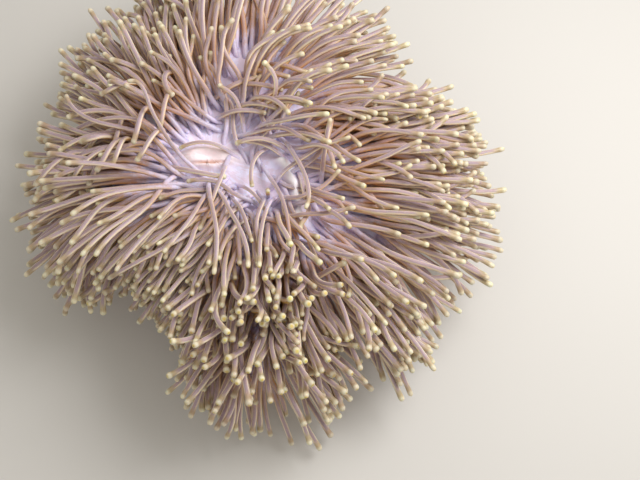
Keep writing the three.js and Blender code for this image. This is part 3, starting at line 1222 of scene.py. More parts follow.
    def flesh_out(self, points: np.ndarray, azimuth: np.ndarray, where: np.ndarray) -> np.ndarray:
        """Adds the flutes and wrinkles of the column, and the lips and the pale fold of the disc.

        Args:
            points: Points of the smooth skin.
            azimuth: Their azimuths.
            where: The number of each point's band.

        Returns:
            The points, moved.
        """
        on_column, on_top = where == Section.COLUMN.number, where == Section.TOP.number
        share = np.clip((points[:, 2] - self.foot_height) / (self.wrinkled_height - self.foot_height), 0, 1)
        fade = np.sin(np.pi * share) ** 0.5 * on_column
        flute = self.flute_depth * np.cos(self.flutes * azimuth) * (1 - 0.5 * share)
        wander = self.wander * np.sin(self.wander_turns * azimuth)
        waver = np.sin(self.waver_turns * azimuth + 2)
        crease = np.sin(2 * np.pi * self.wrinkles * share + wander + waver)
        low = self.wrinkle_rest + (1 - self.wrinkle_rest) * (1 - share) ** 2
        wrinkle = self.wrinkle_depth * low * crease
        points = points + level(azimuth) * (fade * (flute + wrinkle))[:, None]
        x, y = points[:, 0].copy(), points[:, 1].copy()
        span = np.hypot(x, y) / self.disc.margin_radius.at(azimuth)
        pull = np.exp(-((span / self.mouth_span) ** 2)) * on_top
        turn, longer = math.radians(self.mouth.turn), self.mouth_stretch * x
        points[:, 0] += pull * (self.mouth.x + longer * math.cos(turn))
        points[:, 1] += pull * (self.mouth.y - self.mouth_squeeze * y + longer * math.sin(turn))
        x, y = points[on_top, 0], points[on_top, 1]
        height, _ = self.disc.height_under(x, y)
        moved = np.abs(pull[on_top]) > 1e-3
        lift = self.mouth.relief(x, y) + self.ridge.height * self.ridge.mask(x, y)
        points[on_top, 2] = np.where(moved, height, points[on_top, 2]) + lift
        return points

    def mark(self, mesh: bpy.types.Mesh, points: np.ndarray, where: np.ndarray, row: np.ndarray) -> None:
        """Writes the numbers that tell the material where it is on the body.

        Args:
            mesh: The skin.
            points: Its points.
            where: The number of each point's band.
            row: The number of each point's row.
        """
        start = sum(self.rows[s] for s in list(Section)[: Section.MARGIN.number])
        x, y = points[:, 0], points[:, 1]
        on_top = where == Section.TOP.number
        carry(mesh, "disc", ease(row.astype(float), start, start + self.rows[Section.MARGIN]))
        carry(mesh, "lips", on_top * self.mouth.mask(x, y))
        carry(mesh, "slit", on_top * self.mouth.slit(x, y))
        carry(mesh, "pale", on_top * self.ridge.mask(x, y))
        low, high = self.foot_fade
        carry(mesh, "foot", 1 - ease(points[:, 2], self.foot_height * low, self.foot_height * high))

    @staticmethod
    def close(mesh: bpy.types.Mesh) -> None:
        """Merges the seam and the two poles.

        Args:
            mesh: The skin, rolled but still open.
        """
        made = bmesh.new()
        made.from_mesh(mesh)
        bmesh.ops.remove_doubles(made, verts=made.verts, dist=TINY)
        made.to_mesh(mesh)
        made.free()

    def dress(self, material: bpy.types.Material) -> bpy.types.Object:
        """Builds the skin and puts it in the place of the flesh nodes.

        Args:
            material: The body's finish.

        Returns:
            The piece.
        """
        piece = finished("body_skin", self.build(), material)
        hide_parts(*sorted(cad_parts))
        return piece


# ---- tentacles ----
@dataclass(frozen=True)
class Drift:
    """A patch of the crown whose tentacles go another way than the rest; angles are in degrees.

    Attributes:
        azimuth: Its middle.
        half_azimuth: How far it reaches to each side.
        span: Its middle.
        half_span: How far it reaches in and out.
        lean: Added to the angle at which they leave the disc.
        turn: Added to the way that they end up pointing.
        rise: How far above level they end up pointing.
        share: How many of them do this.
    """

    azimuth: float
    half_azimuth: float
    span: float
    half_span: float
    lean: float = 0.0
    turn: float = 0.0
    rise: float = 0.0
    share: float = 1.0

    def pull(self, azimuth: np.ndarray, span: np.ndarray, draw: np.random.Generator) -> np.ndarray:
        """How much each tentacle follows this drift.

        Args:
            azimuth: Their roots' azimuths, in radians.
            span: Their roots' spans.
            draw: Where random numbers come from.

        Returns:
            A share for each, from 0 to 1.
        """
        near = Wave(0, ((self.azimuth, self.half_azimuth, 1),)).at(azimuth)
        return near * np.exp(-(((span - self.span) / self.half_span) ** 2)) * (
            draw.random(len(span)) < self.share)


@dataclass(frozen=True)
class Stray:
    """One tentacle that arches over the rest and holds its place.

    Attributes:
        x: Its root's x.
        y: Its root's y.
        way: The way that it sets off, in degrees.
        turn: How much further round it points by its tip, in degrees.
        reach: Its length, seen from above.
        rise: How far it climbs above its root.
        drop: How far its tip hangs below its top.
        peak: The share of its reach at which it is highest.
    """

    x: float
    y: float
    way: float
    turn: float
    reach: float
    rise: float
    drop: float = 0.0
    peak: float = 0.62

    def line(self, disc: OralDisc, steps: int, finer: int = 4) -> np.ndarray:
        """Its middle line, in steps of one length.

        Args:
            disc: What it stands on.
            steps: How many steps.
            finer: How many points are worked out for each step.

        Returns:
            Its points, from root to tip.
        """
        share = np.linspace(0, 1, finer * steps + 1)
        way = np.radians(self.way + self.turn * (share[1:] + share[:-1]) / 2)
        plan = level(way) * self.reach / (finer * steps)
        line = np.concatenate([np.zeros((1, 3)), np.cumsum(plan, axis=0)]) + (self.x, self.y, 0)
        foot, _ = disc.height_under(np.array([self.x]), np.array([self.y]))
        climb = np.sin(0.5 * np.pi * np.minimum(share / self.peak, 1))
        fall = np.clip((share - self.peak) / max(1 - self.peak, TINY), 0, 1) ** 2
        line[:, 2] = foot + self.rise * climb - self.drop * fall
        run = np.concatenate([[0], np.cumsum(np.linalg.norm(np.diff(line, axis=0), axis=1))])
        stations = np.linspace(0, run[-1], steps + 1)
        return np.stack([np.interp(stations, run, line[:, axis]) for axis in range(3)], -1)


@dataclass(frozen=True)
class Finger:
    """The shape of one straight tentacle, 1 long and 1 in radius, with a blunt, swollen end.

    Attributes:
        sides: Faces round it.
        outline: The height and the radius of each ring.
        frame_start: The ring, as a share of them all, at which its back is first turned upwards.
        upright: The slope of that ring, 1 when upright, past which its back, where the light's reflection is
            painted, is turned southwards, to the camera, instead.
        swollen: Where a tip's own swelling starts and is full, in shares of its length.
        end_start: The share of its length at which its end starts.
        end_edge: Where the end's colour fades, in radii from the middle.
    """

    sides: int = 6
    outline: Outline = (
        (-0.045, 0.0), (-0.03, 1.2), (0.03, 1.1), (0.12, 1.03), (0.25, 1.0), (0.4, 0.97), (0.55, 0.95),
        (0.7, 0.94), (0.84, 0.93), (0.93, 0.95), (0.955, 1.03), (0.976, 1.1), (0.992, 1.03), (1.004, 0.76),
        (1.009, 0.36), (1.008, 0.0))
    frame_start: float = 0.6
    upright: float = 0.98
    swollen: tuple[float, float] = (0.84, 0.99)
    end_start: float = 0.985
    end_edge: tuple[float, float] = (0.2, 0.95)

    def marks(self, shape: np.ndarray) -> dict[str, np.ndarray]:
        """The numbers that are the same on every tentacle.

        Args:
            shape: The straight tentacle's points.

        Returns:
            For each point, how far "along" it is, how near the middle of the "end", and how near the "back",
            which places the painted light and shade round it.
        """
        out = np.hypot(shape[:, 0], shape[:, 1])
        return {
            "along": np.clip(shape[:, 2], 0, 1),
            "end": (shape[:, 2] > self.end_start) * (1 - ease(out, *self.end_edge)),
            "back": shape[:, 0] / np.maximum(out, TINY)}

    def bent(
            self, straight: np.ndarray, lines: np.ndarray, thickness: np.ndarray,
            swell: np.ndarray) -> np.ndarray:
        """Bends the straight tentacle along each line.

        Args:
            straight: The straight tentacle's points.
            lines: Points, by tentacle and step.
            thickness: Each tentacle's radius.
            swell: How much more, or less, than most each one swells at its tip.

        Returns:
            Points, by tentacle and point of the straight one.
        """
        stations, station = np.unique(np.round(straight[:, 2], 5), return_inverse=True)
        steps = lines.shape[1] - 1
        place = np.clip(stations * steps, 0, steps - TINY)
        before = place.astype(int)
        rest = (stations * steps - before)[None, :, None]
        centre = lines[:, before] * (1 - rest) + lines[:, before + 1] * rest
        tangent = unit(np.gradient(centre, axis=1))
        across = np.empty_like(tangent)
        middle = int(self.frame_start * len(stations))
        steep = np.abs(tangent[:, middle, 2:]) > self.upright
        for order in (range(middle, -1, -1), range(middle, len(stations))):
            guide = np.where(steep, (0.0, -1.0, 0.0), (0.0, 0.0, 1.0))
            for number in order:
                way = tangent[:, number]
                guide = unit(guide - way * np.sum(guide * way, -1, keepdims=True))
                across[:, number] = guide
        third = np.cross(tangent, across)
        swollen = ease(straight[:, 2], *self.swollen)
        wide = (thickness[:, None] * (1 + swell[:, None] * swollen[None]))[..., None]
        return (centre[:, station] + across[:, station] * straight[:, 0][None, :, None] * wide
                + third[:, station] * straight[:, 1][None, :, None] * wide)


@dataclass
class Room:
    """How tentacles make room for each other, for the disc and for the floor.

    Attributes:
        disc: What they stand on.
        radius: Their radius.
        clearings: Round places that they keep off, each (x, y, radius).
        rounds: How many times they are moved.
        refresh: After how many rounds the pairs that may touch are found again.
        clearance: The least gap between two.
        pair_margin: How much further apart two points may be and still be such a pair.
        push: The share of an overlap that each round takes off on either side.
        most_push: The most that a point moves in a round.
        smoothing: How much each round straightens them.
        clearing_edge: How far outside a clearing they are pushed.
        skin_clearance: The gap to the disc.
        rest_span: The span up to which the disc carries them.
        rest_depth: How far under the disc's top a point may be and still be lifted onto it.
        floor_clearance: The height of the lowest ones.
        ceiling: The height of the highest ones.
    """

    disc: OralDisc
    radius: float
    clearings: tuple[Point, ...]
    rounds: int = 28
    refresh: int = 4
    clearance: float = 0.0003
    pair_margin: float = 0.003
    push: float = 0.3
    most_push: float = 0.0015
    smoothing: float = 0.25
    clearing_edge: float = 0.001
    skin_clearance: float = 0.0008
    rest_span: float = 1.04
    rest_depth: float = 0.012
    floor_clearance: float = 0.014
    ceiling: float = 0.166

    def near_pairs(self, lines: np.ndarray) -> tuple[np.ndarray, np.ndarray]:
        """Pairs of points of different tentacles that are, or may soon be, in each other.

        Args:
            lines: Points, by tentacle and step.

        Returns:
            The numbers of the two points of each pair.
        """
        flat = lines.reshape(-1, 3)
        tree = KDTree(len(flat))
        for number, point in enumerate(flat):
            tree.insert(point, number)
        tree.balance()
        reach = 2 * self.radius + self.pair_margin
        per_line = lines.shape[1]
        first, second = [], []
        for number, point in enumerate(flat):
            for _, other, _ in tree.find_range(point, reach):
                if other > number and other // per_line != number // per_line:
                    first.append(number)
                    second.append(other)
        return np.array(first), np.array(second)

    def settle(self, lines: np.ndarray, fixed: int) -> np.ndarray:
        """Lets the tentacles make room for each other, for the disc and for the floor.

        Args:
            lines: Points, by tentacle and step.
            fixed: How many tentacles, at the end of the list, hold still.

        Returns:
            The points, settled.
        """
        roots = lines[:, 0].copy()
        step = np.linalg.norm(lines[:, 1] - roots, axis=-1)
        first = unit(lines[:, 1] - roots)
        apart = 2 * self.radius + self.clearance
        still = lines[len(lines) - fixed:].copy()
        for number in range(self.rounds):
            if number % self.refresh == 0:
                one, two = self.near_pairs(lines)
            flat = lines.reshape(-1, 3)
            between = flat[one] - flat[two]
            gap = np.linalg.norm(between, axis=-1)
            lack = np.maximum(apart - gap, 0)
            push = between / np.maximum(gap, TINY)[:, None] * (self.push * lack)[:, None]
            shift = np.stack([
                np.bincount(one, push[:, axis], len(flat)) - np.bincount(two, push[:, axis], len(flat))
                for axis in range(3)], -1)
            size = np.linalg.norm(shift, axis=-1, keepdims=True)
            shift *= np.minimum(1, self.most_push / np.maximum(size, 1e-9))
            lines = (flat + shift).reshape(lines.shape)
            lines[:, 1:-1] += self.smoothing * (0.5 * (lines[:, :-2] + lines[:, 2:]) - lines[:, 1:-1])
            for middle_x, middle_y, radius in self.clearings:
                off = lines[..., :2] - (middle_x, middle_y)
                far = np.linalg.norm(off, axis=-1, keepdims=True)
                inside = np.maximum(radius + self.clearing_edge - far, 0)
                lines[..., :2] += self.smoothing * off / np.maximum(far, TINY) * inside
            lines = self.restrain(lines, roots, first, step)
            lines[len(lines) - fixed:] = still
        return lines

    def restrain(
            self, lines: np.ndarray, roots: np.ndarray, first: np.ndarray, step: np.ndarray) -> np.ndarray:
        """Keeps each tentacle's root and length, and lifts it off the disc and the floor.

        Args:
            lines: Points, by tentacle and step.
            roots: Where each stands.
            first: The way that each leaves its root.
            step: The length of each one's steps.

        Returns:
            The points, moved.
        """
        kept = lines.copy()
        kept[:, 0] = roots
        kept[:, 1] = roots + first * step[:, None]
        for number in range(2, lines.shape[1]):
            point = kept[:, number]
            under, span = self.disc.height_under(point[:, 0], point[:, 1])
            over = (span < self.rest_span) & (point[:, 2] > under - self.rest_depth)
            low = np.where(over, under + self.radius + self.skin_clearance, self.floor_clearance)
            point[:, 2] = np.clip(point[:, 2], low, self.ceiling)
            before = kept[:, number - 1]
            kept[:, number] = before + unit(point - before) * step[:, None]
        return kept


@dataclass
class TentacleCrown:
    """About 1,250 fingers, which lie over the disc in one flowing coat.

    Angles are in degrees. A clearing is a round place that they keep off, a fan one that they point away
    from, and a cluster one where more of them stand.

    Attributes:
        disc: What they stand on.
        mouth: The lips, which they leave bare.
        ridge: The fold, which they leave bare.
        count: How many are sown evenly, besides the clusters.
        bare_span: The span inside which none stands.
        crowding: 2 is even; more draws them towards the margin.
        azimuth_jitter: How far they are moved round, in radians.
        span_jitter: How far they are moved in or out.
        bare_ridge: The share of the ridge's height from which on none stands.
        radius: Their radius, out in the crown.
        inner_radius: Their radius in its middle.
        inner_reach: The distance from the axis at which the one has gone over to the other.
        stray_size: The strays' radius beside that of the rest.
        stray_taper: How much less that is in the middle.
        plumpness: What every radius is scaled by.
        plumpness_spread: How much single ones differ in it.
        swelling: How much single ones differ in the thickness of their tips.
        tint_spread: How much single ones differ in tint.
        length: Their length in the crown's middle.
        extra_length: How much longer they are at the margin.
        length_spread: How much single ones differ in length.
        shortening: What the length is scaled by, round the crown.
        stretch: How much longer they are towards the middle, round the crown.
        lean: How far from upright on the disc they set off.
        drifts: The patches that go another way.
        inner_lean: Added to the lean in the middle.
        lean_spread: How much single ones differ in it.
        sweep: How far off the way straight out they point.
        sweep_inside: The share of the sweep that is left in the middle.
        droop: How far below level they end up pointing at the margin.
        droop_power: How close to the margin that starts.
        droop_spread: How much single ones differ in it.
        swirl: How far the swirls turn them.
        swirl_turns: How many swirls there are round the crown.
        swirl_rings: How far the swirls shift from the middle to the margin, in radians.
        azimuth_spread: How much single ones differ in the way that they set off.
        curl_spread: How much single ones differ in how they turn from there.
        middle_spread: How much more they differ where they are tangled.
        tangle_span: The span inside which they are tangled.
        tangle_width: How far in from there they are tangled in full.
        bend: How much of the way from the first direction to the last they bend.
        bend_power: How close to the tip they do so.
        waviness: How much they wave from side to side.
        waves: How many waves each one has.
        hooked: The share of them that have a hooked tip.
        hook: How strong the hook is.
        hook_power: How close to the tip it starts.
        steps: How many steps a middle line has.
        open_ring: The ring of the lips inside which they would hide them.
        open_ridge: The share of the ridge's height from which on they would hide it.
        open_points: The number of such points at which a tentacle is left out.
        thinning: The share that is left out round the middle.
        thin_middle: The centre of that, as (x, y).
        thin_radii: The distances at which it starts to fade and has faded.
        coat_shade_heights: The heights over the disc at which the painted shade low in the coat starts to
            fade and has faded.
        coat_shade_inside: The spans at which it starts and is full.
        coat_shade_outside: The spans, past the margin, at which it starts to fade and has faded.
        fans: Each (x, y, radius, strength).
        fan_ahead: The cosines, to the way out of a fan, at which the turning starts and is full.
        clusters: Each (x, y, spread, how many more).
        clearings: Each (x, y, radius).
        strays: The ones that are placed one by one.
        random: Where random numbers come from.
    """

    disc: OralDisc
    mouth: Lips
    ridge: Ridge
    # where they stand
    count: int = 1260
    bare_span: float = 0.08
    crowding: float = 2.1
    azimuth_jitter: float = 0.03
    span_jitter: float = 0.012
    bare_ridge: float = 0.3
    # how long and stout they are
    radius: float = 0.00225
    inner_radius: float = 0.0015
    inner_reach: float = 0.09
    stray_size: float = 0.97
    stray_taper: float = 0.26
    plumpness: float = 1.1
    plumpness_spread: float = 0.06
    swelling: float = 0.05
    tint_spread: float = 0.5
    length: float = 0.066
    extra_length: float = 0.008
    length_spread: float = 0.09
    shortening: Wave = Wave(1, (
        (216, 20, -0.34), (250, 14, -0.2), (275, 16, -0.12), (301, 9, -0.2), (340, 24, 0.07)))
    stretch: Wave = Wave(0.05, ((198, 34, 0.5),))
    # how they lie
    lean: Wave = Wave(64, ((15, 40, 10),))
    drifts: tuple[Drift, ...] = (
        Drift(288, 32, 0.6, 0.3, lean=-46, rise=72, share=0.5),
        Drift(275, 18, 0.7, 0.13, lean=-30, rise=50, share=0.8),
        Drift(160, 14, 0.6, 0.2, lean=-25, turn=95, rise=-45, share=0.6),
        Drift(66, 40, 0.4, 0.3, lean=-18, turn=-45),
        Drift(90, 22, 0.4, 0.16, lean=-8, turn=-50),
        Drift(202, 24, 0.9, 0.5, turn=48))
    inner_lean: float = -6
    lean_spread: float = 9
    sweep: Wave = Wave(0, (
        (15, 22, -8), (56, 24, -60), (128, 20, -10), (194, 18, 14), (259, 8, 8), (297, 9, -20),
        (328, 12, -22)))
    sweep_inside: float = 0.35
    droop: Wave = Wave(4, ((198, 18, 50), (224, 15, 74), (272, 18, 60), (330, 22, 36)))
    droop_power: float = 2.5
    droop_spread: float = 8
    swirl: float = 7
    swirl_turns: int = 3
    swirl_rings: float = 6
    azimuth_spread: float = 7
    curl_spread: float = 13
    middle_spread: float = 65
    tangle_span: float = 0.45
    tangle_width: float = 0.2
    bend: float = 0.9
    bend_power: float = 1.2
    waviness: float = 0.16
    waves: float = 1.1
    hooked: float = 0.1
    hook: float = 1.6
    hook_power: int = 3
    steps: int = 20
    # which of them are left out, over the lips and the ridge and, in part, round the middle
    open_ring: float = 1.15
    open_ridge: float = 0.45
    open_points: int = 3
    thinning: float = 0.1
    thin_middle: tuple[float, float] = (0.004, 0.004)
    thin_radii: tuple[float, float] = (0.03, 0.06)
    # painted shade, low in the coat where shade falls between them
    coat_shade_heights: tuple[float, float] = (0.010, 0.038)
    coat_shade_inside: tuple[float, float] = (0.3, 0.6)
    coat_shade_outside: tuple[float, float] = (1.0, 1.3)
    # single places
    fans: tuple[tuple[float, float, float, float], ...] = ((0.011, -0.101, 0.024, 1.3),)
    fan_ahead: tuple[float, float] = (-0.8, 0.1)
    clusters: tuple[tuple[float, float, float, int], ...] = (
        (0.010, -0.102, 0.012, 52), (0.009, -0.072, 0.009, 22))
    clearings: tuple[Point, ...] = (
        (-0.012, 0.070, 0.009), (-0.008, 0.092, 0.009), (0.060, -0.028, 0.008), (0.122, -0.003, 0.006),
        (0.014, 0.061, 0.008), (0.039, 0.072, 0.007), (-0.076, 0.048, 0.007), (0.009, -0.111, 0.007),
        (0.028, 0.009, 0.006), (0.033, -0.004, 0.007), (0.037, -0.016, 0.007), (0.039, -0.028, 0.007),
        (-0.038, 0.015, 0.008), (-0.028, 0.016, 0.009), (-0.018, 0.017, 0.008), (-0.006, -0.012, 0.005),
        (0.012, 0.022, 0.006))
    strays: tuple[Stray, ...] = (
        Stray(-0.021, -0.029, way=236, turn=-42, reach=0.088, rise=0.022, drop=0.014),
        Stray(0.054, -0.006, way=82, turn=-6, reach=0.034, rise=0.039, peak=1.0),
        Stray(-0.005, 0.015, way=146, turn=54, reach=0.045, rise=0.015, drop=0.005),
        Stray(-0.012, 0.022, way=262, turn=-14, reach=0.070, rise=0.016, drop=0.0),
        Stray(-0.063, 0.012, way=326, turn=34, reach=0.052, rise=0.016, drop=0.003),
        Stray(0.034, 0.018, way=156, turn=42, reach=0.042, rise=0.018, drop=0.004),
        Stray(0.031, 0.013, way=146, turn=34, reach=0.040, rise=0.012, drop=0.003),
        Stray(0.039, -0.005, way=302, turn=40, reach=0.040, rise=0.030, peak=1.0),
        Stray(0.041, -0.013, way=300, turn=16, reach=0.031, rise=0.032, peak=1.0),
        Stray(0.016, -0.014, way=280, turn=0, reach=0.013, rise=0.038, peak=1.0),
        Stray(0.035, -0.078, way=0, turn=24, reach=0.037, rise=0.042, peak=1.0),
        Stray(-0.059, 0.075, way=280, turn=-24, reach=0.049, rise=0.037, drop=0.005),
        Stray(-0.074, 0.060, way=283, turn=-34, reach=0.047, rise=0.042, drop=0.005),
        Stray(-0.099, 0.061, way=308, turn=-70, reach=0.043, rise=0.046, drop=0.005),
        Stray(-0.062, 0.039, way=282, turn=-56, reach=0.043, rise=0.037, drop=0.005),
        Stray(-0.093, 0.040, way=282, turn=-52, reach=0.046, rise=0.046, drop=0.005),
        Stray(-0.104, 0.039, way=280, turn=-40, reach=0.049, rise=0.047, drop=0.005),
        Stray(-0.088, 0.037, way=287, turn=-46, reach=0.040, rise=0.045, drop=0.005),
        Stray(-0.077, 0.083, way=250, turn=-60, reach=0.040, rise=0.040, drop=0.005),
        Stray(-0.046, 0.084, way=180, turn=150, reach=0.038, rise=0.031, drop=0.005),
        Stray(-0.094, 0.039, way=255, turn=-84, reach=0.032, rise=0.041, drop=0.005),
        Stray(-0.030, 0.060, way=12, turn=16, reach=0.040, rise=0.020, drop=0.004),
        Stray(-0.026, 0.046, way=2, turn=-8, reach=0.040, rise=0.018, drop=0.003),
        Stray(-0.014, 0.054, way=-8, turn=-6, reach=0.040, rise=0.019, drop=0.004),
        Stray(-0.014, 0.072, way=-24, turn=16, reach=0.042, rise=0.023, drop=0.003),
        Stray(0.010, 0.066, way=-8, turn=10, reach=0.038, rise=0.020, drop=0.004),
        Stray(-0.008, 0.086, way=-30, turn=26, reach=0.041, rise=0.020, drop=0.004),
        Stray(0.006, 0.094, way=-38, turn=30, reach=0.042, rise=0.022, drop=0.004),
        Stray(0.018, 0.025, way=215, turn=70, reach=0.040, rise=0.013, drop=0.004),
        Stray(-0.008, -0.004, way=330, turn=-36, reach=0.036, rise=0.012, drop=0.003))
    random: np.random.Generator = field(default_factory=lambda: np.random.default_rng(SEED))

    def roots(self) -> tuple[np.ndarray, np.ndarray]:
        """Where the tentacles stand, spread evenly by the golden angle.

        Returns:
            Their azimuths and spans.
        """
        number = np.arange(self.count) + 0.5
        share = number / self.count
        first = self.bare_span**self.crowding
        span = (first + (1 - first) * share) ** (1 / self.crowding)
        azimuth = number * math.pi * (3 - math.sqrt(5))
        azimuth += self.random.normal(0, self.azimuth_jitter, self.count)
        span = np.clip(span + self.random.normal(0, self.span_jitter, self.count), self.bare_span, 1)
        for x, y, spread, more in self.clusters:
            x, y = self.random.normal((x, y), spread, (more, 2)).T
            azimuth = np.append(azimuth, np.arctan2(y, x))
            span = np.append(span, np.minimum(self.disc.span_at(np.arctan2(y, x), np.hypot(x, y)), 1))
        x, y, _ = self.disc.points(azimuth, span).T
        free = (self.mouth.rings(x, y)[0] > self.mouth.foot_ring) & (self.ridge.mask(x, y) < self.bare_ridge)
        for middle_x, middle_y, radius in self.clearings:
            free &= np.hypot(x - middle_x, y - middle_y) > radius
        return azimuth[free] % (2 * np.pi), span[free]

    def grow(self) -> np.ndarray:
        """Draws each tentacle's middle line in the crown's flow, before they make room for each other.

        Returns:
            Points, by tentacle and step.
        """
        azimuth, span = self.roots()
        size = len(span)
        spread = self.random.normal
        normal = self.disc.normals(azimuth, span)
        pulls = [(drift, drift.pull(azimuth, span, self.random)) for drift in self.drifts]
        lean = self.lean.at(azimuth) + self.inner_lean * (1 - span) + spread(0, self.lean_spread, size)
        lean = np.radians(lean + sum(drift.lean * pull for drift, pull in pulls))
        tangled = np.clip((self.tangle_span - span) / self.tangle_width, 0, 1)
        inner = tangled * spread(0, self.middle_spread, size)
        swept = self.sweep.at(azimuth) * (self.sweep_inside + (1 - self.sweep_inside) * span)
        flow = swept + self.swirl * np.sin(self.swirl_turns * azimuth + self.swirl_rings * span)
        towards = flow + inner + spread(0, self.azimuth_spread, size)
        place = self.disc.points(azimuth, span)
        way = self.fanned(place, level(azimuth + np.radians(towards)))
        along = unit(way - normal * np.sum(way * normal, -1, keepdims=True))
        first = normal * np.cos(lean)[:, None] + along * np.sin(lean)[:, None]
        towards += spread(0, self.curl_spread, size) + sum(drift.turn * pull for drift, pull in pulls)
        droop = self.droop.at(azimuth) * span**self.droop_power + spread(0, self.droop_spread, size)
        droop = np.radians(droop - sum(drift.rise * pull for drift, pull in pulls))
        last = self.fanned(place, level(azimuth + np.radians(towards))) * np.cos(droop)[:, None]
        last -= np.outer(np.sin(droop), (0, 0, 1))
        side = np.cross(normal, way) * np.where(spread(0, 1, size) > 0, 1, -1)[:, None]
        side *= (self.random.random(size) < self.hooked)[:, None]
        length = (self.length + self.extra_length * span) * spread(1, self.length_spread, size)
        length *= self.shortening.at(azimuth) * (1 + self.stretch.at(azimuth) * (1 - span))
        line = [place]
        beside = unit(np.cross(first, (0.0, 0.0, 1.0)) + 1e-9)
        sway, phase = spread(0, self.waviness, size) * (1 + tangled), self.random.random(size)
        for number in range(1, self.steps + 1):
            share = (number - 0.5) / self.steps
            bend = self.bend * share**self.bend_power
            wave = (sway * np.sin(2 * np.pi * (self.waves * share + phase)))[:, None] * beside
            way_now = unit(first * (1 - bend) + last * bend) + wave
            way_now = unit(way_now + side * self.hook * share**self.hook_power)
            line.append(line[-1] + way_now * (length / self.steps)[:, None])
        return np.stack(line, 1)

    def fanned(self, place: np.ndarray, way: np.ndarray) -> np.ndarray:
        """Turns the tentacles that stand near a fan's middle away from it.

        Args:
            place: Their roots.
            way: The level ways that they point.

        Returns:
            The ways, turned.
        """
        for x, y, radius, strength in self.fans:
            off = (place - (x, y, 0.0)) * (1.0, 1.0, 0.0)
            far = np.linalg.norm(off, axis=-1, keepdims=True)
            ahead = ease(np.sum(unit(off) * way, -1, keepdims=True), *self.fan_ahead)
            way = unit(way + strength * ahead * np.exp(-((far / radius) ** 2)) * unit(off))
        return way

    def parted(self, lines: np.ndarray, fixed: int) -> np.ndarray:
        """Leaves out the tentacles that would hide the lips or the ridge, and a few round the middle.

        Args:
            lines: Points, by tentacle and step.
            fixed: How many tentacles, at the end of the list, are kept whatever they cross.

        Returns:
            The points of the tentacles that are left.
        """
        x, y = lines[..., 0], lines[..., 1]
        over = (self.mouth.rings(x, y)[0] < self.open_ring) | (self.ridge.mask(x, y) > self.open_ridge)
        middle_x, middle_y = self.thin_middle
        near = 1 - ease(np.hypot(x[:, 0] - middle_x, y[:, 0] - middle_y), *self.thin_radii)
        kept = (over.sum(1) < self.open_points) & (self.random.random(len(lines)) > self.thinning * near)
        kept[-fixed:] = True
        return lines[kept]

    def dress(self, material: bpy.types.Material) -> list[bpy.types.Object]:
        """Builds every lobe's tentacles and puts them in the place of the lobe's node.

        Args:
            material: The tentacles' finish.

        Returns:
            The pieces, one for each lobe.
        """
        strays = np.stack([stray.line(self.disc, self.steps) for stray in self.strays])
        lines = np.concatenate([self.grow(), strays])
        lines = Room(self.disc, self.radius, self.clearings).settle(lines, len(strays))
        lines = self.parted(lines, len(strays))
        size = len(lines)
        inward = 1 - np.clip(np.hypot(lines[:, 0, 0], lines[:, 0, 1]) / self.inner_reach, 0, 1)
        thickness = self.radius + (self.inner_radius - self.radius) * inward
        thickness[-len(strays):] = (self.stray_size - self.stray_taper * inward[-len(strays):]) * self.radius
        thickness *= self.plumpness * self.random.normal(1, self.plumpness_spread, size)
        tint = np.clip(self.random.normal(0, self.tint_spread, size), -1, 1)
        swell = self.random.normal(0, self.swelling, size)
        azimuth = np.degrees(np.arctan2(lines[:, 0, 1], lines[:, 0, 0]))
        lobe = ((azimuth - LOBE_TURN) % 360 // (360 / LOBES)).astype(int)
        finger = Finger()
        straight = turned("straight_tentacle", finger.outline, finger.sides)
        shape = coordinates(straight)
        pieces = []
        for number in range(LOBES):
            mine = np.flatnonzero(lobe == number)
            mesh = copied("tentacles", straight, len(mine))
            points = finger.bent(shape, lines[mine], thickness[mine], swell[mine]).reshape(-1, 3)
            place_points(mesh, points)
            # Painted shade: how low in the coat each point lies, which the material tints ochre.
            carry(mesh, "deep", self.depth(points))
            for mark, values in finger.marks(shape).items():
                carry(mesh, mark, np.tile(values, len(mine)))
            for mark, values in (("tint", tint), ("inner", inward)):
                carry(mesh, mark, np.repeat(values[mine], len(shape)))
            piece = finished(f"tentacles_{number + 1:02d}", mesh, material, levels=1)
            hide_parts(f"tentacle_lobe_{number + 1:02d}")
            pieces.append(piece)
        bpy.data.meshes.remove(straight)
        log.info("%d tentacles", size)
        return pieces

    def depth(self, points: np.ndarray) -> np.ndarray:
        """How deep in the coat points lie, which the material paints as shade.

        Args:
            points: The points, one row each.

        Returns:
            1 near the disc, 0 on top of the coat and outside the margin.
        """
        under, span = self.disc.height_under(points[:, 0], points[:, 1])
        low = 1 - ease(points[:, 2] - under, *self.coat_shade_heights)
        return low * ease(span, *self.coat_shade_inside) * (1 - ease(span, *self.coat_shade_outside))


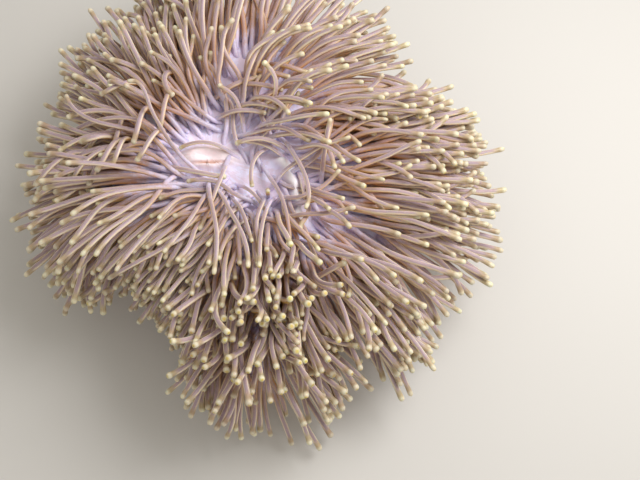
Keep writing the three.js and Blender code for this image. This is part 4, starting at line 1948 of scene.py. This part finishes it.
# ---- column warts ----
@dataclass
class ColumnWarts:
    """Rows of small sticky warts that run up the column, larger towards the crown.

    Attributes:
        rows: How many rows.
        in_row: How many warts in each.
        row_wander: How far they stray from their row, in rows.
        step_wander: How far they stray along it, in steps.
        radius: A wart's radius before it is scaled.
        smallest: The scale of the lowest ones.
        growth: How much the scale grows from there to the top.
        size_spread: How much single warts differ in size.
        lowest: The height of the lowest ones.
        highest: The height of the highest ones.
        outside: How far from the axis the search for each one's seat starts.
        sides: Faces round a wart.
        outline: The height and the radius of each of its rings.
    """

    rows: int = 36
    in_row: int = 15
    row_wander: float = 0.12
    step_wander: float = 0.15
    radius: float = 0.0011
    smallest: float = 0.7
    growth: float = 0.5
    size_spread: float = 0.12
    lowest: float = 0.030
    highest: float = 0.090
    outside: float = 0.11
    sides: int = 7
    outline: Outline = ((-0.5, 1.0), (0.1, 1.05), (0.5, 0.85), (0.78, 0.45), (0.86, 0.0))

    def seats(self, skin: bpy.types.Object, draw: np.random.Generator) -> tuple[np.ndarray, np.ndarray]:
        """Where the warts sit.

        Args:
            skin: The body's finished skin.
            draw: Where random numbers come from.

        Returns:
            Their places on the skin, and the ways out of it.
        """
        number = np.arange(self.rows * self.in_row)
        row, step = number // self.in_row, number % self.in_row
        azimuth = 2 * np.pi * (row + self.row_wander * draw.normal(size=len(number))) / self.rows
        share = step + 0.5 * (row % 2) + self.step_wander * draw.normal(size=len(number))
        height = self.lowest + (self.highest - self.lowest) * np.clip(share / self.in_row, 0, 1)
        seats, ways = [], []
        for turn, high in zip(azimuth, height):
            far = (self.outside * math.cos(turn), self.outside * math.sin(turn), high)
            hit, seat, way, _ = skin.ray_cast(far, (-math.cos(turn), -math.sin(turn), 0.0))
            if hit:
                seats.append(seat)
                ways.append(way)
        return np.array(seats), unit(np.array(ways))

    def dress(self, skin: bpy.types.Object, material: bpy.types.Material) -> bpy.types.Object:
        """Seats the warts on the skin.

        Args:
            skin: The body's finished skin.
            material: The warts' finish.

        Returns:
            The piece.
        """
        draw = np.random.default_rng(SEED + 1)
        seats, ways = self.seats(skin, draw)
        across = unit(np.cross(ways, (0.0, 0.0, 1.0)))
        third = np.cross(ways, across)
        one = turned("wart", self.outline, self.sides)
        shape = coordinates(one)
        grown = self.growth * (seats[:, 2] - self.lowest) / (self.highest - self.lowest)
        size = self.radius * (self.smallest + grown)
        size = (size * draw.normal(1, self.size_spread, len(seats)))[:, None, None]
        points = seats[:, None] + size * (
            across[:, None] * shape[None, :, :1] + third[:, None] * shape[None, :, 1:2]
            + ways[:, None] * shape[None, :, 2:])
        mesh = copied("warts", one, len(seats))
        bpy.data.meshes.remove(one)
        place_points(mesh, points.reshape(-1, 3))
        carry(mesh, "along", np.tile(np.clip(shape[:, 2], 0, 1), len(seats)))
        piece = finished("column_warts", mesh, material, levels=1)
        return piece


# ---- studio ----
@dataclass(frozen=True)
class Lamp:
    """A square soft light.

    Attributes:
        name: Its name.
        place: Where it hangs.
        size: Its side.
        power: Its power in watts.
        colour: Its colour.
    """

    name: str
    place: Point
    size: float
    power: float
    colour: Point

    def hang(self, aim: Point) -> None:
        """Adds it to the scene.

        Args:
            aim: The point that it faces.
        """
        data = bpy.data.lights.new(self.name, "AREA")
        data.energy, data.size, data.color = self.power, self.size, self.colour
        light = bpy.data.objects.new(self.name, data)
        light.location = self.place
        x, y, z = np.array(aim) - np.array(self.place)
        light.rotation_euler = (math.atan2(math.hypot(x, y), -z), 0.0, math.atan2(y, x) - math.pi / 2)
        bpy.context.scene.collection.objects.link(light)


@dataclass
class Studio:
    """The floor, the lights and the camera.

    Attributes:
        target: The point that the camera faces.
        distance: How far off the camera is.
        elevation: How steeply it looks down, in degrees.
        lens: Its focal length in millimetres.
        sensor: Its sensor's width in millimetres.
        clip: The nearest and the furthest that it sees.
        floor_size: The floor's side.
        lit_point: The point that the lamps face.
        lamps: The lamps.
        surroundings: The colour of the light from all round.
        glow: How strong that light is.
    """

    target: Point = (0.0533, -0.0433, 0.1092)
    distance: float = 0.630
    elevation: float = 70.0
    lens: float = 49.2
    sensor: float = 36.0
    clip: tuple[float, float] = (0.01, 20.0)
    floor_size: float = 4.0
    lit_point: Point = (0.0, 0.0, 0.1)
    lamps: tuple[Lamp, ...] = (
        Lamp("key_light", (0.40, 0.14, 0.68), 0.4, 4.4, (1.0, 0.98, 0.97)),
        Lamp("fill_light", (0.8, 0.1, 0.9), 0.9, 2.4, (0.98, 0.98, 1.0)))
    surroundings: Colour = srgb(236, 231, 222)
    glow: float = 0.70

    def camera(self) -> None:
        """Looks steeply down on the crown from its south side."""
        rise = math.radians(self.elevation)
        data = bpy.data.cameras.new("camera")
        data.lens, data.sensor_width = self.lens, self.sensor
        data.clip_start, data.clip_end = self.clip
        eye = bpy.data.objects.new("camera", data)
        x, y, z = self.target
        eye.location = (x, y - self.distance * math.cos(rise), z + self.distance * math.sin(rise))
        eye.rotation_euler = (math.pi / 2 - rise, 0.0, 0.0)
        bpy.context.scene.collection.objects.link(eye)
        bpy.context.scene.camera = eye

    def dress(self, finish: FloorFinish) -> None:
        """Sets the whole stage.

        Args:
            finish: The floor's finish.
        """
        made = bmesh.new()
        bmesh.ops.create_grid(made, x_segments=1, y_segments=1, size=self.floor_size / 2)
        mesh = poured(made, "floor")
        mesh.materials.append(finish.material())
        floor = bpy.data.objects.new("floor", mesh)
        bpy.context.scene.collection.objects.link(floor)
        for lamp in self.lamps:
            lamp.hang(self.lit_point)
        world = bpy.data.worlds.new("studio")
        world.use_nodes = True
        back = world.node_tree.nodes["Background"]
        back.inputs["Color"].default_value = self.surroundings
        back.inputs["Strength"].default_value = self.glow
        bpy.context.scene.world = world
        bpy.context.scene.view_settings.view_transform = "Standard"
        self.camera()


def main() -> None:
    """Builds the animal and its stage, and notes its size."""
    logging.basicConfig(level=logging.INFO, format="%(name)s %(message)s")
    disc, mouth, ridge = OralDisc(), Lips(), Ridge()
    groups = mottle_group(), grain_group()
    Studio().dress(FloorFinish())
    skin = BodySkin(disc, mouth, ridge).dress(BodyFinish(*groups).material(mouth))
    ColumnWarts().dress(skin, WartFinish(*groups).material())
    TentacleCrown(disc, mouth, ridge).dress(TentacleFinish(*groups).material())


if __name__ == "__main__":
    main()
